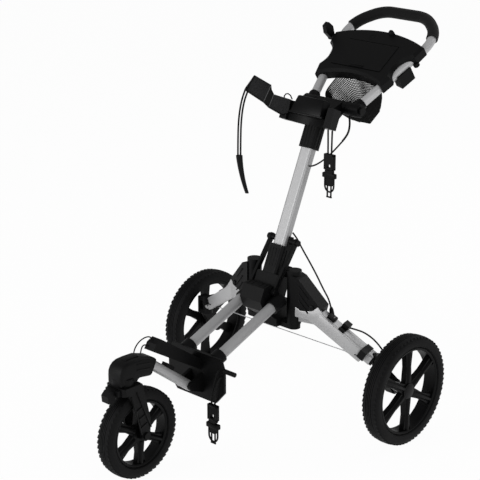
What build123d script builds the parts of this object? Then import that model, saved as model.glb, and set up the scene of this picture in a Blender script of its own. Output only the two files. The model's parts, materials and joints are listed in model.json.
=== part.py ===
from build123d import *
from math import atan2, cos, degrees, hypot, radians, sin, tan
import os

# Three-wheel folding golf push cart. X runs across the cart, the front wheel is towards -Y,
# Z is up from the ground. Pieces are drawn from the rear axle line and moved by AXLE_Y on export.
AXLE_Y = 142.0

# Clearances
RUN = 0.05
GAP = 0.3

# Wheels
TRACK = 706.0
WHEELBASE = 597.0
REAR_RADIUS = 145.0
REAR_WIDTH = 48.0
FRONT_RADIUS = 116.0
FRONT_WIDTH = 44.0
TYRE_HEIGHT = 30.0
GROOVE_WIDTH = 2.6
GROOVE_DEPTH = 2.0
GROOVE_PITCH = 10.0
BARREL_WALL = 7.0
SPOKES = 6
SPOKE_ROOT = 13.0
SPOKE_WAIST = 9.0
SPOKE_TIP = 14.0
SPOKE_DEPTH = 15.0
HUB_RADIUS = 23.0
CAP_HEIGHT = 6.0
REAR_AXLE_RADIUS = 8.0
FRONT_AXLE_RADIUS = 5.0

# Mast and its hinge on the hub
HINGE_Y = -152.0
HINGE_Z = 369.0
HINGE_PIN = 5.0
MAST_LEAN = 66.2
MAST_BACK = 24.0
MAST_WIDTH = 38.0
MAST_DEPTH = 25.0
MAST_CORNER = 7.0
MAST_WALL = 1.8
FOOT_BOTTOM = 45.0
FOOT_FLOOR = 15.0
FOOT_TOP = 121.0
FOOT_WIDTH = 50.0
FOOT_DEPTH = 36.0
COLLAR_BOTTOM = 381.0
COLLAR_TOP = 447.0
MAST_SEAT = 30.0
BRACE_X = 42.0
BRACE_THICK = 8.0
BRACE_WIDTH = 13.0
BRACE_EYE = 0.75
BRACE_TOP_BACK = 30.0
BRACE_TOP = 137.0
BRACE_BOLT = 4.0
HUB_HALF = 36.0
HINGE_HEAD = 4.0
HUB_BACK = 26.0
HUB_FRONT = 30.0

# Rails and lower bag cradle
RAIL_X = 52.0
RAIL_RADIUS = 14.0
RAIL_WALL = 1.6
RAIL_Y = -165.0
RAIL_Z = 338.0
RAIL_SLOPE = 201.8
BRACKET_DEPTH = 25.4
SOCKET_RADIUS = 19.0
SOCKET_DEPTH = 30.0
SOCKET_LIP = 8.0
RAIL_SEAT = 26.0
RAIL_FOOT = 17.0
PLATE_BEHIND = 38.0
PLATE_THICK = 7.0
PLATE_HALF = 98.0
PLATE_TOP = 268.0
PLATE_BOTTOM = 146.0
PEG_RADIUS = 6.0
PEG_REACH = 34.0
LATCH_ROOT = 46.0
LATCH_THICK = 30.0
LATCH_REACH = 160.0
LATCH_HALF = 16.0

# Front arm, elbow and fork
ARM_BEHIND = 169.0
ARM_DROP = 69.0
ARM_RISE = 142.7
ARM_LENGTH = 166.0
ARM_WIDTH = 30.0
ARM_HEIGHT = 25.0
ARM_WALL = 2.0
ARM_CORNER = 11.0
ARM_SLOT_LOW = 76.0
ARM_SLOT_HIGH = 106.0
ARM_SLOT_HALF = 9.0
LUG_THICK = 9.0
LUG_RADIUS = 12.0
LUG_ROOT = 26.0
ARM_PIN = 5.0
SWIVEL_TRAIL = 43.0
WHEEL_ROOM = 6.0
ELBOW_HALF = 24.0
ELBOW_RADIUS = 28.0
ELBOW_TOP = 60.0
ELBOW_REAR = 42.0
ELBOW_ROUND = 14.0
ELBOW_EDGE = 5.0
STEM_RADIUS = 9.0
STEM_HEIGHT = 44.0
CROWN_HEIGHT = 20.0
FORK_ROOM = 3.0
FORK_THICK = 8.0
FORK_EYE = 13.0
LOCK_AHEAD = 31.0
LOCK_DROP = 10.0
LOCK_HALF = 12.0
LOCK_BOSS = 8.0
LOCK_PIN = 3.0
LOCK_LUG = 22.0

# Rear legs and wheel knuckles
LEG_X = 70.0
LEG_Y = -105.0
LEG_Z = 362.0
LEG_PIN = 6.0
KNUCKLE_DEPTH = 24.0
KNUCKLE_ROOM = 1.0
KNUCKLE_Y = -45.0
KNUCKLE_RISE = 70.0
KNUCKLE_PIN = 5.0
LEG_WIDTH = 38.0
LEG_HEIGHT = 28.0
LEG_PIN_TOP = 370.0
LEG_ROOT = 22.0
STRUT_Z = 303.0
STRUT_WIDTH = 16.0
STRUT_HEIGHT = 30.0
STRUT_LENGTH = 118.0
LEG_CORNER = 7.0
LEG_WALL = 1.8
CASING_RADIUS = 19.0
CASING_TOP = 425.0
EAR_TOP = 280.0
EAR_THICK = 13.0
TIP_RADIUS = 14.0
CHEEK_THICK = 11.0
AXLE_BOSS = 20.0
CROSS_HALF = 261.0
CROSS_Y = -80.0
CROSS_Z = 237.0

# Handle, console and grip
HANDLE_BACK = 70.6
HANDLE_UP = 508.8
HANDLE_RISE = 34.0
HANDLE_PIN = 6.0
HANDLE_HALF = 74.0
HANDLE_SPLAY = 150.0
HANDLE_SIDE = 290.0
HANDLE_TOP = 356.0
HANDLE_CROWN = 75.0
HANDLE_BEND = 88.0
HANDLE_RADIUS = 12.0
HANDLE_WALL = 1.6
GRIP_RADIUS = 16.0
GRIP_START = 280.0
HEAD_HALF = 52.0
EYE_REACH = 23.0
HEAD_RADIUS = 17.0
CONSOLE_LOW = 78.0
CONSOLE_HIGH = 246.0
CONSOLE_THICK = 24.0
CONSOLE_UNDER = 7.0
CONSOLE_WALL = 4.0
CONSOLE_CROWN = 8.0
CONSOLE_TAPER = 35.0
FLAP_HINGE = 213.0
FLAP_LENGTH = 92.0
FLAP_HALF = 82.0
FLAP_THICK = 4.0
FLAP_BARREL = 3.0
LEVER_S = 226.0
LEVER_X = 164.0
SOCKET_BORE = 8.0
SOCKET_LENGTH = 40.0

# Saddle, strap and cords
SADDLE_RADIUS = 130.0
SADDLE_HALF = 78.0
SADDLE_BOTTOM = 438.0
SADDLE_TOP = 490.0
SADDLE_THICK = 14.0
STRAP_WIDTH = 42.0
STRAP_THICK = 3.0
NET_WALL = 2.5
CORD_RADIUS = 2.4
CABLE_RADIUS = 2.2
WIRE_RADIUS = 1.2
SLEEVE_RADIUS = 2.6
SLEEVE_LENGTH = 30.0
LOOP_RADIUS = 1.6
UPPER_HOOK = 116.0
LOWER_HOOK = 106.0

# Places that follow from the sizes
KNUCKLE_X = TRACK / 2 - REAR_WIDTH / 2 - KNUCKLE_DEPTH - KNUCKLE_ROOM
KNUCKLE_Z = REAR_RADIUS + KNUCKLE_RISE
FORK_IN = FRONT_WIDTH / 2 + FORK_ROOM
SWIVEL_Y = -WHEELBASE - SWIVEL_TRAIL
ELBOW_BOTTOM = 2 * FRONT_RADIUS + WHEEL_ROOM + CROWN_HEIGHT
ARM_Y = ARM_BEHIND - WHEELBASE
ARM_Z = ELBOW_BOTTOM - ARM_DROP
PLATE_Y = ARM_Y + PLATE_BEHIND
PLATE_FRONT = PLATE_Y - PLATE_THICK / 2
RAIL_VISIBLE = (PLATE_Y + BRACKET_DEPTH - RAIL_Y) / cos(radians(RAIL_SLOPE))


def side_frame(y, z, rise):
    """Frame in the cart's side plane whose local Z points `rise` degrees above +Y."""
    return Plane(origin=(0, y, z), x_dir=(1, 0, 0), z_dir=(0, cos(radians(rise)), sin(radians(rise))))


MAST = side_frame(HINGE_Y, HINGE_Z, MAST_LEAN)
GRIP_HINGE = MAST.from_local_coords((0, HANDLE_BACK, HANDLE_UP))
HANDLE = side_frame(GRIP_HINGE.Y, GRIP_HINGE.Z, HANDLE_RISE + 90)
RAILS = side_frame(RAIL_Y, RAIL_Z, RAIL_SLOPE)
ARM = side_frame(ARM_Y, ARM_Z, ARM_RISE)


def across(radius, x_low, x_high, y=0.0, z=0.0):
    """Cylinder along X between two places across the cart."""
    turn = Rot(0, 90, 0)
    return Pos((x_low + x_high) / 2, y, z) * turn * Cylinder(radius, x_high - x_low)


def upright(radius, z_low, z_high, x=0.0, y=0.0):
    """Cylinder along Z between two heights."""
    return Pos(x, y, (z_low + z_high) / 2) * Cylinder(radius, z_high - z_low)


def block(x_low, x_high, y_low, y_high, z_low, z_high):
    """Box between corner places."""
    centre = Pos((x_low + x_high) / 2, (y_low + y_high) / 2, (z_low + z_high) / 2)
    return centre * Box(x_high - x_low, y_high - y_low, z_high - z_low)


def side_plate(points, x_low, x_high):
    """Plate with an outline in the side plane, given as (y, z) corners."""
    outline = Polyline([(x_low, y, z) for y, z in points], close=True)
    return extrude(make_face(outline), amount=x_high - x_low, dir=(1, 0, 0))


def rod(start, end, radius):
    """Round bar between two points."""
    axis = Vector(end) - Vector(start)
    return Plane(origin=start, z_dir=axis) * (Pos(0, 0, axis.length / 2) * Cylinder(radius, axis.length))


def rounded_bar(width, depth, corner, low, high):
    """Upright bar with a rounded rectangular section."""
    return Pos(0, 0, low) * extrude(RectangleRounded(width, depth, corner), amount=high - low)


def rounded_tube(width, depth, corner, wall, low, high):
    """Hollow upright bar with a rounded rectangular section."""
    inner = rounded_bar(width - 2 * wall, depth - 2 * wall, corner - wall, low - 1, high + 1)
    return rounded_bar(width, depth, corner, low, high) - inner


def both_sides(solid):
    """The solid and its mirror image across the cart."""
    return Compound(children=[solid, mirror(solid, about=Plane.YZ)])


def cord_path(points):
    """Route of straight runs joined by the largest arcs that the runs allow."""
    places = [Vector(p) for p in points]
    radii = []
    for before, corner, after in zip(places, places[1:], places[2:]):
        turn = (corner - before).get_angle(after - corner)
        run = min((corner - before).length, (after - corner).length)
        radii.append(0.45 * run / tan(radians(turn / 2)))
    print("cord radii", [round(r, 1) for r in radii])
    return FilletPolyline(*points, radius=radii)


def cord(points, radius):
    """Round cord along a route."""
    route = cord_path(points)
    start = Plane(origin=route @ 0, z_dir=route % 0)
    return sweep(start * Circle(radius), path=route)


def tyre(radius, width):
    """Tyre with a crowned tread, three grooves and full sidewalls."""
    half = width / 2
    seat = radius - TYRE_HEIGHT
    bulge = radius - TYRE_HEIGHT / 2
    shoulder = radius - TYRE_HEIGHT / 6
    side = Polyline((-half + 6, seat), (-half + 1, seat + 5), (-half, bulge), (-half + 2, shoulder))
    crown = ThreePointArc((-half + 2, shoulder), (0, radius), (half - 2, shoulder))
    other = Polyline((half - 2, shoulder), (half, bulge), (half - 1, seat + 5), (half - 6, seat))
    base = Line((half - 6, seat), (-half + 6, seat))
    solid = revolve(make_face(side + crown + other + base), Axis.X)
    for step in (-1, 0, 1):
        low = step * GROOVE_PITCH - GROOVE_WIDTH / 2
        ring = across(radius + 1, low, low + GROOVE_WIDTH)
        solid -= ring - across(radius - GROOVE_DEPTH - abs(step), low - 1, low + GROOVE_WIDTH + 1)
    return solid


def rim(radius, width, axle_radius, hub_in, hub_out):
    """Wheel with a barrel, six tapered spokes set towards the outside and a bored hub."""
    seat = radius - TYRE_HEIGHT
    half = width / 2 - 6
    inner = seat - BARREL_WALL
    solid = across(seat, -half, half) - across(inner, -half - 1, half + 1)
    outer = half - 4
    waist = (HUB_RADIUS + inner) / 2
    blade = Polyline(
        (outer, -SPOKE_ROOT, HUB_RADIUS - 6),
        (outer, -SPOKE_WAIST, waist),
        (outer, -SPOKE_TIP, inner + 2),
        (outer, SPOKE_TIP, inner + 2),
        (outer, SPOKE_WAIST, waist),
        (outer, SPOKE_ROOT, HUB_RADIUS - 6),
        close=True,
    )
    spoke = extrude(make_face(blade), amount=SPOKE_DEPTH, dir=(-1, 0, 0))
    for number in range(SPOKES):
        solid += Rot(360 / SPOKES * number, 0, 0) * spoke
    solid += across(HUB_RADIUS, outer - SPOKE_DEPTH - 2, outer + 1)
    solid += across(axle_radius + 8, hub_in, hub_out)
    return solid - across(axle_radius + RUN, hub_in - 1, hub_out + 1)


def hub_cap(radius, x, height):
    """Shallow domed cap over the end of an axle."""
    disc = across(radius, x, x + height)
    return chamfer(disc.edges().group_by(Axis.X)[-1], height * 0.6)


def rear_wheel():
    """Tyre, rim and cap of the right rear wheel, with its axle."""
    place = Pos(TRACK / 2, 0, REAR_RADIUS)
    face = REAR_WIDTH / 2 - 9
    boss = KNUCKLE_X + KNUCKLE_DEPTH - TRACK / 2 + GAP
    axle = across(REAR_AXLE_RADIUS, KNUCKLE_X + 6, TRACK / 2 + face - GAP, 0, REAR_RADIUS)
    pieces = {
        "tyre": place * tyre(REAR_RADIUS, REAR_WIDTH),
        "rim": place * rim(REAR_RADIUS, REAR_WIDTH, REAR_AXLE_RADIUS, boss, face),
        "hub_cap": place * hub_cap(HUB_RADIUS - 2, face, CAP_HEIGHT),
        "axle": axle,
    }
    return pieces


def front_wheel():
    """Tyre, rim and axle nuts of the front wheel."""
    place = Pos(0, -WHEELBASE, FRONT_RADIUS)
    reach = FORK_IN - GAP
    nut = FORK_IN + FORK_THICK
    axle = across(FRONT_AXLE_RADIUS, -nut, nut, -WHEELBASE, FRONT_RADIUS)
    for side in (-1, 1):
        low, high = sorted((side * nut, side * (nut + 5)))
        axle += across(FRONT_AXLE_RADIUS + 4, low, high, -WHEELBASE, FRONT_RADIUS)
    return {
        "front_tyre": place * tyre(FRONT_RADIUS, FRONT_WIDTH),
        "front_rim": place * rim(FRONT_RADIUS, FRONT_WIDTH, FRONT_AXLE_RADIUS, -reach, reach),
        "front_axle": axle,
    }


def hub():
    """Central casting with the mast seat, the rail sockets and the ears of the legs."""
    seat = FOOT_BOTTOM - GAP
    back = MAST_BACK + FOOT_DEPTH / 2 + 0.6
    profile = [
        (-34, -34), (-34, 2), (-14, 15), (3, 15), (5, seat), (back, seat), (back, seat + 30),
        (back + 9, seat + 30), (back + 14, -10), (60, -70), (-10, -56),
    ]
    solid = MAST * side_plate(profile, -HUB_HALF, HUB_HALF)
    solid += block(
        -HUB_HALF, HUB_HALF, LEG_Y - HUB_FRONT, LEG_Y + HUB_BACK, EAR_TOP - EAR_THICK, EAR_TOP + 50)
    for side in (-1, 1):
        place = RAILS * Pos(side * RAIL_X, 0, 0)
        solid += place * upright(SOCKET_RADIUS, -SOCKET_DEPTH, SOCKET_LIP)
        low, high = sorted((0, side * LEG_X))
        ear = block(low, high, LEG_Y - 17, LEG_Y + 17, EAR_TOP - EAR_THICK, EAR_TOP)
        ear += upright(17, EAR_TOP - EAR_THICK, EAR_TOP, side * LEG_X, LEG_Y)
        solid += ear
        solid -= upright(LEG_PIN + RUN, EAR_TOP - EAR_THICK - 1, EAR_TOP + 1, side * LEG_X, LEG_Y)
        solid -= place * upright(RAIL_RADIUS + RUN, -RAIL_SEAT, SOCKET_LIP + 1)
        brace_side = BRACE_X + BRACE_THICK / 2 + GAP
        low, high = sorted((side * (BRACE_X - BRACE_THICK / 2 - GAP), side * brace_side))
        solid -= MAST * across(BRACE_WIDTH * BRACE_EYE + GAP, low, high)
        low, high = sorted((side * brace_side, side * (brace_side + HINGE_HEAD + GAP)))
        solid -= MAST * across(HINGE_PIN + HINGE_HEAD + GAP, low, high)
    return solid - MAST * across(HINGE_PIN + RUN, -HUB_HALF - 1, HUB_HALF + 1)


def frame_pins():
    """Steel pins of the mast hinge, the two legs and the front arm."""
    head = BRACE_X + BRACE_THICK / 2 + GAP
    mast_pin = MAST * across(HINGE_PIN, -head, head)
    for side in (-1, 1):
        low, high = sorted((side * head, side * (head + HINGE_HEAD)))
        mast_pin += MAST * across(HINGE_PIN + HINGE_HEAD, low, high)
    arm_end = ARM_WIDTH / 2 + GAP + LUG_THICK
    pins = [mast_pin, across(ARM_PIN, -arm_end, arm_end, ARM_Y, ARM_Z)]
    for side in (-1, 1):
        pins.append(upright(LEG_PIN, EAR_TOP - EAR_THICK, LEG_PIN_TOP, side * LEG_X, LEG_Y))
    return Compound(children=pins)


def rails():
    """Two straight aluminium tubes between the hub and the lower bracket."""
    low = -RAIL_SEAT
    high = RAIL_VISIBLE + RAIL_FOOT
    tube = upright(RAIL_RADIUS, low, high) - upright(RAIL_RADIUS - RAIL_WALL, low - 1, high + 1)
    return Compound(children=[RAILS * Pos(side * RAIL_X, 0, 0) * tube for side in (-1, 1)])


def lower_bracket():
    """Casting that joins the rails to the cradle plate."""
    end = RAILS.from_local_coords((0, 0, RAIL_VISIBLE))
    front = PLATE_Y + PLATE_THICK / 2
    solid = block(-RAIL_X - 8, RAIL_X + 8, front, end.Y + 2, end.Z - 34, end.Z - 2)
    for side in (-1, 1):
        place = RAILS * Pos(side * RAIL_X, 0, 0)
        solid += place * upright(SOCKET_RADIUS, RAIL_VISIBLE - SOCKET_LIP, RAIL_VISIBLE + SOCKET_DEPTH)
        foot = RAIL_VISIBLE + RAIL_FOOT + RUN
        solid -= place * upright(RAIL_RADIUS + RUN, RAIL_VISIBLE - SOCKET_LIP - 1, foot)
    reach = RAIL_X + 2 * SOCKET_RADIUS
    top = PLATE_TOP + SOCKET_DEPTH
    return solid - block(-reach, reach, front - 2 * SOCKET_DEPTH, front, PLATE_BOTTOM, top)


def arm_lug():
    """Right lug of the arm's hinge, on the front of the cradle plate."""
    face = PLATE_Y - PLATE_THICK / 2
    low = ARM_WIDTH / 2 + GAP
    high = low + LUG_THICK
    profile = [
        (ARM_Y, ARM_Z - LUG_RADIUS), (face, ARM_Z - LUG_ROOT), (face, ARM_Z + LUG_ROOT),
        (ARM_Y, ARM_Z + LUG_RADIUS),
    ]
    lug = side_plate(profile, low, high) + across(LUG_RADIUS, low, high, ARM_Y, ARM_Z)
    return lug - across(ARM_PIN + RUN, low - 1, high + 1, ARM_Y, ARM_Z)


def cradle_plate():
    """Shield that the foot of a bag stands against, with two side pegs and the lugs of the front arm."""
    side = PLATE_HALF
    low = PLATE_BOTTOM
    outline = Polyline(
        (-side + 12, PLATE_TOP), (side - 12, PLATE_TOP), (side, PLATE_TOP - 30), (side, low + 34),
        (side - 30, low), (-side + 30, low), (-side, low + 34), (-side, PLATE_TOP - 30), close=True,
    )
    rear = Plane(origin=(0, PLATE_Y + PLATE_THICK / 2, 0), x_dir=(1, 0, 0), z_dir=(0, -1, 0))
    solid = extrude(rear * make_face(outline), amount=PLATE_THICK, dir=(0, -1, 0))
    for side in (-1, 1):
        edge = side * PLATE_HALF
        low, high = sorted((edge - side * 2, edge + side * PEG_REACH))
        solid += across(PEG_RADIUS, low, high, PLATE_Y, PLATE_TOP - 28)
    lug = arm_lug()
    return solid + lug + mirror(lug, about=Plane.YZ)


def latch_block():
    """Catch above the front arm, on the front of the cradle plate."""
    front = PLATE_FRONT
    low = PLATE_TOP - LATCH_ROOT
    profile = [
        (front, low), (front, low + LATCH_THICK), (front - 132, low + 120), (front - 150, low + 112),
        (front - LATCH_REACH, low + 96),
    ]
    return side_plate(profile, -LATCH_HALF, LATCH_HALF)


LATCH_ROUTE = [
    (-6, -534.7, 338.5), (-8, -538.5, 347), (-15, -551, 347), (-24, -564, 336), (-30, -573, 318),
    (-31, -576, 299), (-31, -570, 285), (-31, -559, 284), (-31, -553, 297), (-26, -554, 314),
    (-16, -558, 327), (-8, -556, 331), (-6, -548.9, 326.3),
]


def latch_cords():
    """Pull loop of the catch, which hangs beside the elbow."""
    return cord(LATCH_ROUTE, LOOP_RADIUS)


def mast_foot():
    """Sleeve at the lower end of the mast, with two lugs for the braces."""
    centre = Pos(0, MAST_BACK, 0)
    solid = centre * rounded_bar(FOOT_WIDTH, FOOT_DEPTH, MAST_CORNER + 3, FOOT_BOTTOM, FOOT_TOP)
    bore = centre * rounded_bar(
        MAST_WIDTH + 2 * RUN, MAST_DEPTH + 2 * RUN, MAST_CORNER + RUN, FOOT_BOTTOM + FOOT_FLOOR,
        BRACE_TOP + 40)
    half = FOOT_WIDTH / 2
    back = MAST_BACK + FOOT_DEPTH / 2
    for side in (-1, 1):
        low, high = sorted((side * (half - 8), side * half))
        solid += block(low, high, MAST_BACK, back - 4, FOOT_TOP - 10, BRACE_TOP + 12)
        low, high = sorted((side * (half - 4), side * (BRACE_X - BRACE_THICK / 2)))
        solid += across(8, low, high, BRACE_TOP_BACK, BRACE_TOP)
    solid -= bore
    return MAST * (solid - across(BRACE_BOLT, -80, 80, BRACE_TOP_BACK, BRACE_TOP))


def mast_tube():
    """Rounded aluminium tube between the foot and the bracket head."""
    low = FOOT_BOTTOM + FOOT_FLOOR
    high = COLLAR_BOTTOM + MAST_SEAT
    tube = rounded_tube(MAST_WIDTH, MAST_DEPTH, MAST_CORNER, MAST_WALL, low, high)
    return MAST * (Pos(0, MAST_BACK, 0) * tube - across(BRACE_BOLT, -80, 80, BRACE_TOP_BACK, BRACE_TOP))


def mast_braces():
    """Two flat bars from the hinge pin to the lugs on the foot."""
    length = hypot(BRACE_TOP_BACK, BRACE_TOP)
    tilt = degrees(atan2(BRACE_TOP_BACK, BRACE_TOP))
    bar = block(-BRACE_THICK / 2, BRACE_THICK / 2, -BRACE_WIDTH / 2, BRACE_WIDTH / 2, 0, length)
    bar = Rot(-tilt, 0, 0) * bar
    bar += across(BRACE_WIDTH * BRACE_EYE, -BRACE_THICK / 2, BRACE_THICK / 2)
    bar += across(BRACE_WIDTH * BRACE_EYE, -BRACE_THICK / 2, BRACE_THICK / 2, BRACE_TOP_BACK, BRACE_TOP)
    bar -= across(HINGE_PIN + RUN, -BRACE_THICK, BRACE_THICK)
    bar -= across(BRACE_BOLT, -BRACE_THICK, BRACE_THICK, BRACE_TOP_BACK, BRACE_TOP)
    return both_sides(MAST * Pos(BRACE_X, 0, 0) * bar)


def brace_bolts():
    """Bolts that hold the braces to the foot."""
    head = BRACE_X + BRACE_THICK / 2
    bolt = across(BRACE_BOLT, MAST_WIDTH / 2 - MAST_WALL, head, BRACE_TOP_BACK, BRACE_TOP)
    bolt += across(BRACE_BOLT + 4, head, head + 6, BRACE_TOP_BACK, BRACE_TOP)
    return both_sides(MAST * bolt)


def bracket_head():
    """Collar on the mast and the head that carries the handle hinge."""
    centre = Pos(0, MAST_BACK, 0)
    solid = centre * rounded_bar(FOOT_WIDTH, FOOT_DEPTH, MAST_CORNER + 3, COLLAR_BOTTOM, COLLAR_TOP)
    bore = centre * rounded_bar(
        MAST_WIDTH + 2 * RUN, MAST_DEPTH + 2 * RUN, MAST_CORNER + RUN, COLLAR_BOTTOM - 1,
        COLLAR_BOTTOM + MAST_SEAT)
    front = MAST_BACK - 4
    back = MAST_BACK + FOOT_DEPTH / 2
    profile = [
        (front, COLLAR_TOP - 6), (back, COLLAR_TOP - 6), (HANDLE_BACK + 4, HANDLE_UP - HEAD_RADIUS + 2),
        (HANDLE_BACK, HANDLE_UP + HEAD_RADIUS - 2), (HANDLE_BACK - 12, HANDLE_UP + HEAD_RADIUS - 4),
        (front, SADDLE_TOP - 2),
    ]
    solid += side_plate(profile, -HEAD_HALF + 14, HEAD_HALF - 14)
    solid += across(HEAD_RADIUS, -HEAD_HALF, HEAD_HALF, HANDLE_BACK, HANDLE_UP)
    solid -= bore
    return MAST * (solid - across(HANDLE_PIN + RUN, -HEAD_HALF - 1, HEAD_HALF + 1, HANDLE_BACK, HANDLE_UP))


def bag_saddle():
    """Curved yoke in front of the bracket head, with an ear at each end."""
    centre = MAST_BACK - 4 - SADDLE_RADIUS
    ring = Pos(0, centre, 0) * upright(SADDLE_RADIUS, SADDLE_BOTTOM, SADDLE_TOP)
    ring -= Pos(0, centre, 0) * upright(SADDLE_RADIUS - SADDLE_THICK, SADDLE_BOTTOM - 1, SADDLE_TOP + 1)
    ring &= block(-SADDLE_HALF, SADDLE_HALF, centre, MAST_BACK, SADDLE_BOTTOM, SADDLE_TOP)
    ring -= Pos(0, MAST_BACK, 0) * rounded_bar(
        FOOT_WIDTH + GAP, FOOT_DEPTH + GAP, MAST_CORNER + 3, SADDLE_BOTTOM - 1, COLLAR_TOP)
    tip = centre + (SADDLE_RADIUS ** 2 - SADDLE_HALF ** 2) ** 0.5
    solid = ring
    for side in (-1, 1):
        low, high = sorted((side * (SADDLE_HALF - 14), side * (SADDLE_HALF + 8)))
        solid += block(low, high, tip - 18, tip + 10, SADDLE_BOTTOM, SADDLE_TOP)
    return MAST * solid


def handle_pin():
    """Pin of the handle hinge."""
    end = HANDLE_HALF + EYE_REACH
    pin = across(HANDLE_PIN, -end, end, HANDLE_BACK, HANDLE_UP)
    for side in (-1, 1):
        low, high = sorted((side * end, side * (end + 4)))
        pin += across(HANDLE_PIN + 5, low, high, HANDLE_BACK, HANDLE_UP)
    return MAST * pin


def handle_route(start):
    """Bow of the handle in its own plane, from a distance beyond the hinge."""
    slope = (HANDLE_SPLAY - HANDLE_HALF) / HANDLE_SIDE
    foot = HANDLE_HALF + slope * start
    points = [
        (foot, start, 0), (HANDLE_SPLAY, HANDLE_SIDE, 0), (HANDLE_CROWN, HANDLE_TOP, 0),
        (-HANDLE_CROWN, HANDLE_TOP, 0), (-HANDLE_SPLAY, HANDLE_SIDE, 0), (-foot, start, 0),
    ]
    return FilletPolyline(*points, radius=HANDLE_BEND)


def bow(start, radius):
    """Solid round bar along the handle's bow, in the handle's own frame."""
    route = handle_route(start)
    return sweep(Plane(origin=route @ 0, z_dir=route % 0) * Circle(radius), path=route)


def handle_tube():
    """Bent aluminium tube of the handle."""
    return HANDLE * (bow(20, HANDLE_RADIUS) - bow(19, HANDLE_RADIUS - HANDLE_WALL))


def grip():
    """Foam sleeve over the top of the handle."""
    sleeve = bow(GRIP_START / 2, GRIP_RADIUS) - bow(GRIP_START / 3, HANDLE_RADIUS + RUN)
    reach = HANDLE_SPLAY + 40
    return HANDLE * (sleeve & block(-reach, reach, GRIP_START, HANDLE_TOP + 40, -30, 30))


def handle_knuckles():
    """Hinge eyes with sockets for the two ends of the handle tube."""
    slope = (HANDLE_SPLAY - HANDLE_HALF) / HANDLE_SIDE
    eye_low = HEAD_HALF + GAP
    eye = across(18, eye_low, HANDLE_HALF + EYE_REACH - 3)
    mouth = 54
    eye += rod((HANDLE_HALF, 0, 0), (HANDLE_HALF + slope * mouth, mouth, 0), HANDLE_RADIUS + 5)
    eye -= rod((HANDLE_HALF + slope * 20, 20, 0), (HANDLE_HALF + slope * 80, 80, 0), HANDLE_RADIUS + RUN)
    eye -= across(HANDLE_PIN + RUN, eye_low - 20, HANDLE_HALF + 40)
    return both_sides(HANDLE * (eye & block(eye_low, 140, -40, mouth + 20, -40, 40)))


def console_outline(margin):
    """Outline of the console in the handle plane, drawn in by a margin."""
    low = CONSOLE_LOW + margin
    high = CONSOLE_HIGH - margin
    foot = 112 - margin
    top = 150 - margin
    edges = ThreePointArc((-foot, low), (0, low + 28), (foot, low))
    edges += Line((foot, low), (foot + 10, 112))
    edges += ThreePointArc((foot + 10, 112), (114 - margin, 156), (top - 6, 196))
    edges += Line((top - 6, 196), (top, high - 12))
    edges += ThreePointArc((top, high - 12), (0, high + 20), (-top, high - 12))
    edges += Line((-top, high - 12), (-top + 6, 196))
    edges += ThreePointArc((-top + 6, 196), (-114 + margin, 156), (-foot - 10, 112))
    edges += Line((-foot - 10, 112), (-foot, low))
    return make_face(edges)


def console():
    """Moulded console over the handle tubes, with a bed for the card flap and two bosses."""
    wall = CONSOLE_UNDER + CONSOLE_THICK - CONSOLE_CROWN
    solid = Pos(0, 0, -CONSOLE_UNDER) * extrude(console_outline(0), amount=wall)
    solid += Pos(0, 0, CONSOLE_THICK - CONSOLE_CROWN) * extrude(
        console_outline(0), amount=CONSOLE_CROWN, taper=CONSOLE_TAPER)
    bed = CONSOLE_THICK - FLAP_THICK
    depth = wall - CONSOLE_WALL
    solid -= Pos(0, 0, -CONSOLE_UNDER - 1) * extrude(console_outline(CONSOLE_WALL + 1), amount=depth + 1)
    room = FLAP_HALF + 1
    solid -= block(-room, room, FLAP_HINGE - FLAP_LENGTH - 2, FLAP_HINGE + 4, bed, CONSOLE_THICK + 1)
    solid -= across(FLAP_BARREL + GAP, -FLAP_HALF - 1, FLAP_HALF + 1, FLAP_HINGE, bed + FLAP_BARREL - 1)
    solid += across(9, -LEVER_X + 7 + GAP, -130, LEVER_S, 8)
    solid -= bow(20, HANDLE_RADIUS + RUN)
    solid += across(4, -LEVER_X - 7, -LEVER_X + 10, LEVER_S, 8)
    solid += across(1.5, -FLAP_HALF - 6, FLAP_HALF + 6, FLAP_HINGE, bed + FLAP_BARREL - 1)
    return HANDLE * solid


def card_flap():
    """Hinged flap that holds a score card on the console."""
    bed = CONSOLE_THICK - FLAP_THICK
    pin = bed + FLAP_BARREL - 1
    plate = block(
        -FLAP_HALF, FLAP_HALF, FLAP_HINGE - FLAP_LENGTH, FLAP_HINGE, bed + GAP, CONSOLE_THICK + 1)
    plate += across(FLAP_BARREL, -FLAP_HALF, FLAP_HALF, FLAP_HINGE, pin)
    return HANDLE * (plate - across(1.5 + RUN, -FLAP_HALF - 1, FLAP_HALF + 1, FLAP_HINGE, pin))


def brake_lever():
    """Paddle of the parking brake at the left of the console."""
    low = -LEVER_X - 6
    high = -LEVER_X + 7
    lever = across(9, low, high, LEVER_S, 8)
    profile = [
        (LEVER_S - 8, 10), (LEVER_S - 15, 34), (LEVER_S - 8, 54), (LEVER_S + 8, 54), (LEVER_S + 15, 34),
    ]
    lever += side_plate(profile + [(LEVER_S + 8, 10)], low, high)
    return HANDLE * (lever - across(4 + RUN, low - 1, high + 1, LEVER_S, 8))


def accessory_socket():
    """Open sleeve under the right handle tube for an umbrella or phone holder."""
    slope = (HANDLE_SPLAY - HANDLE_HALF) / HANDLE_SIDE
    low = 140.0
    x = HANDLE_HALF + slope * (low + SOCKET_LENGTH / 2)
    turn = Pos(x, low, 0) * Rot(0, 0, -degrees(atan2(slope, 1)))
    drop = -HANDLE_RADIUS - SOCKET_BORE - 6
    body = block(-13, 13, -6, SOCKET_LENGTH, drop - 12, 0)
    bore = Pos(0, SOCKET_LENGTH / 2, drop) * Rot(90, 0, 0) * Cylinder(SOCKET_BORE, SOCKET_LENGTH)
    return HANDLE * (turn * (body - bore) - bow(20, HANDLE_RADIUS + RUN) - console_space())


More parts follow.
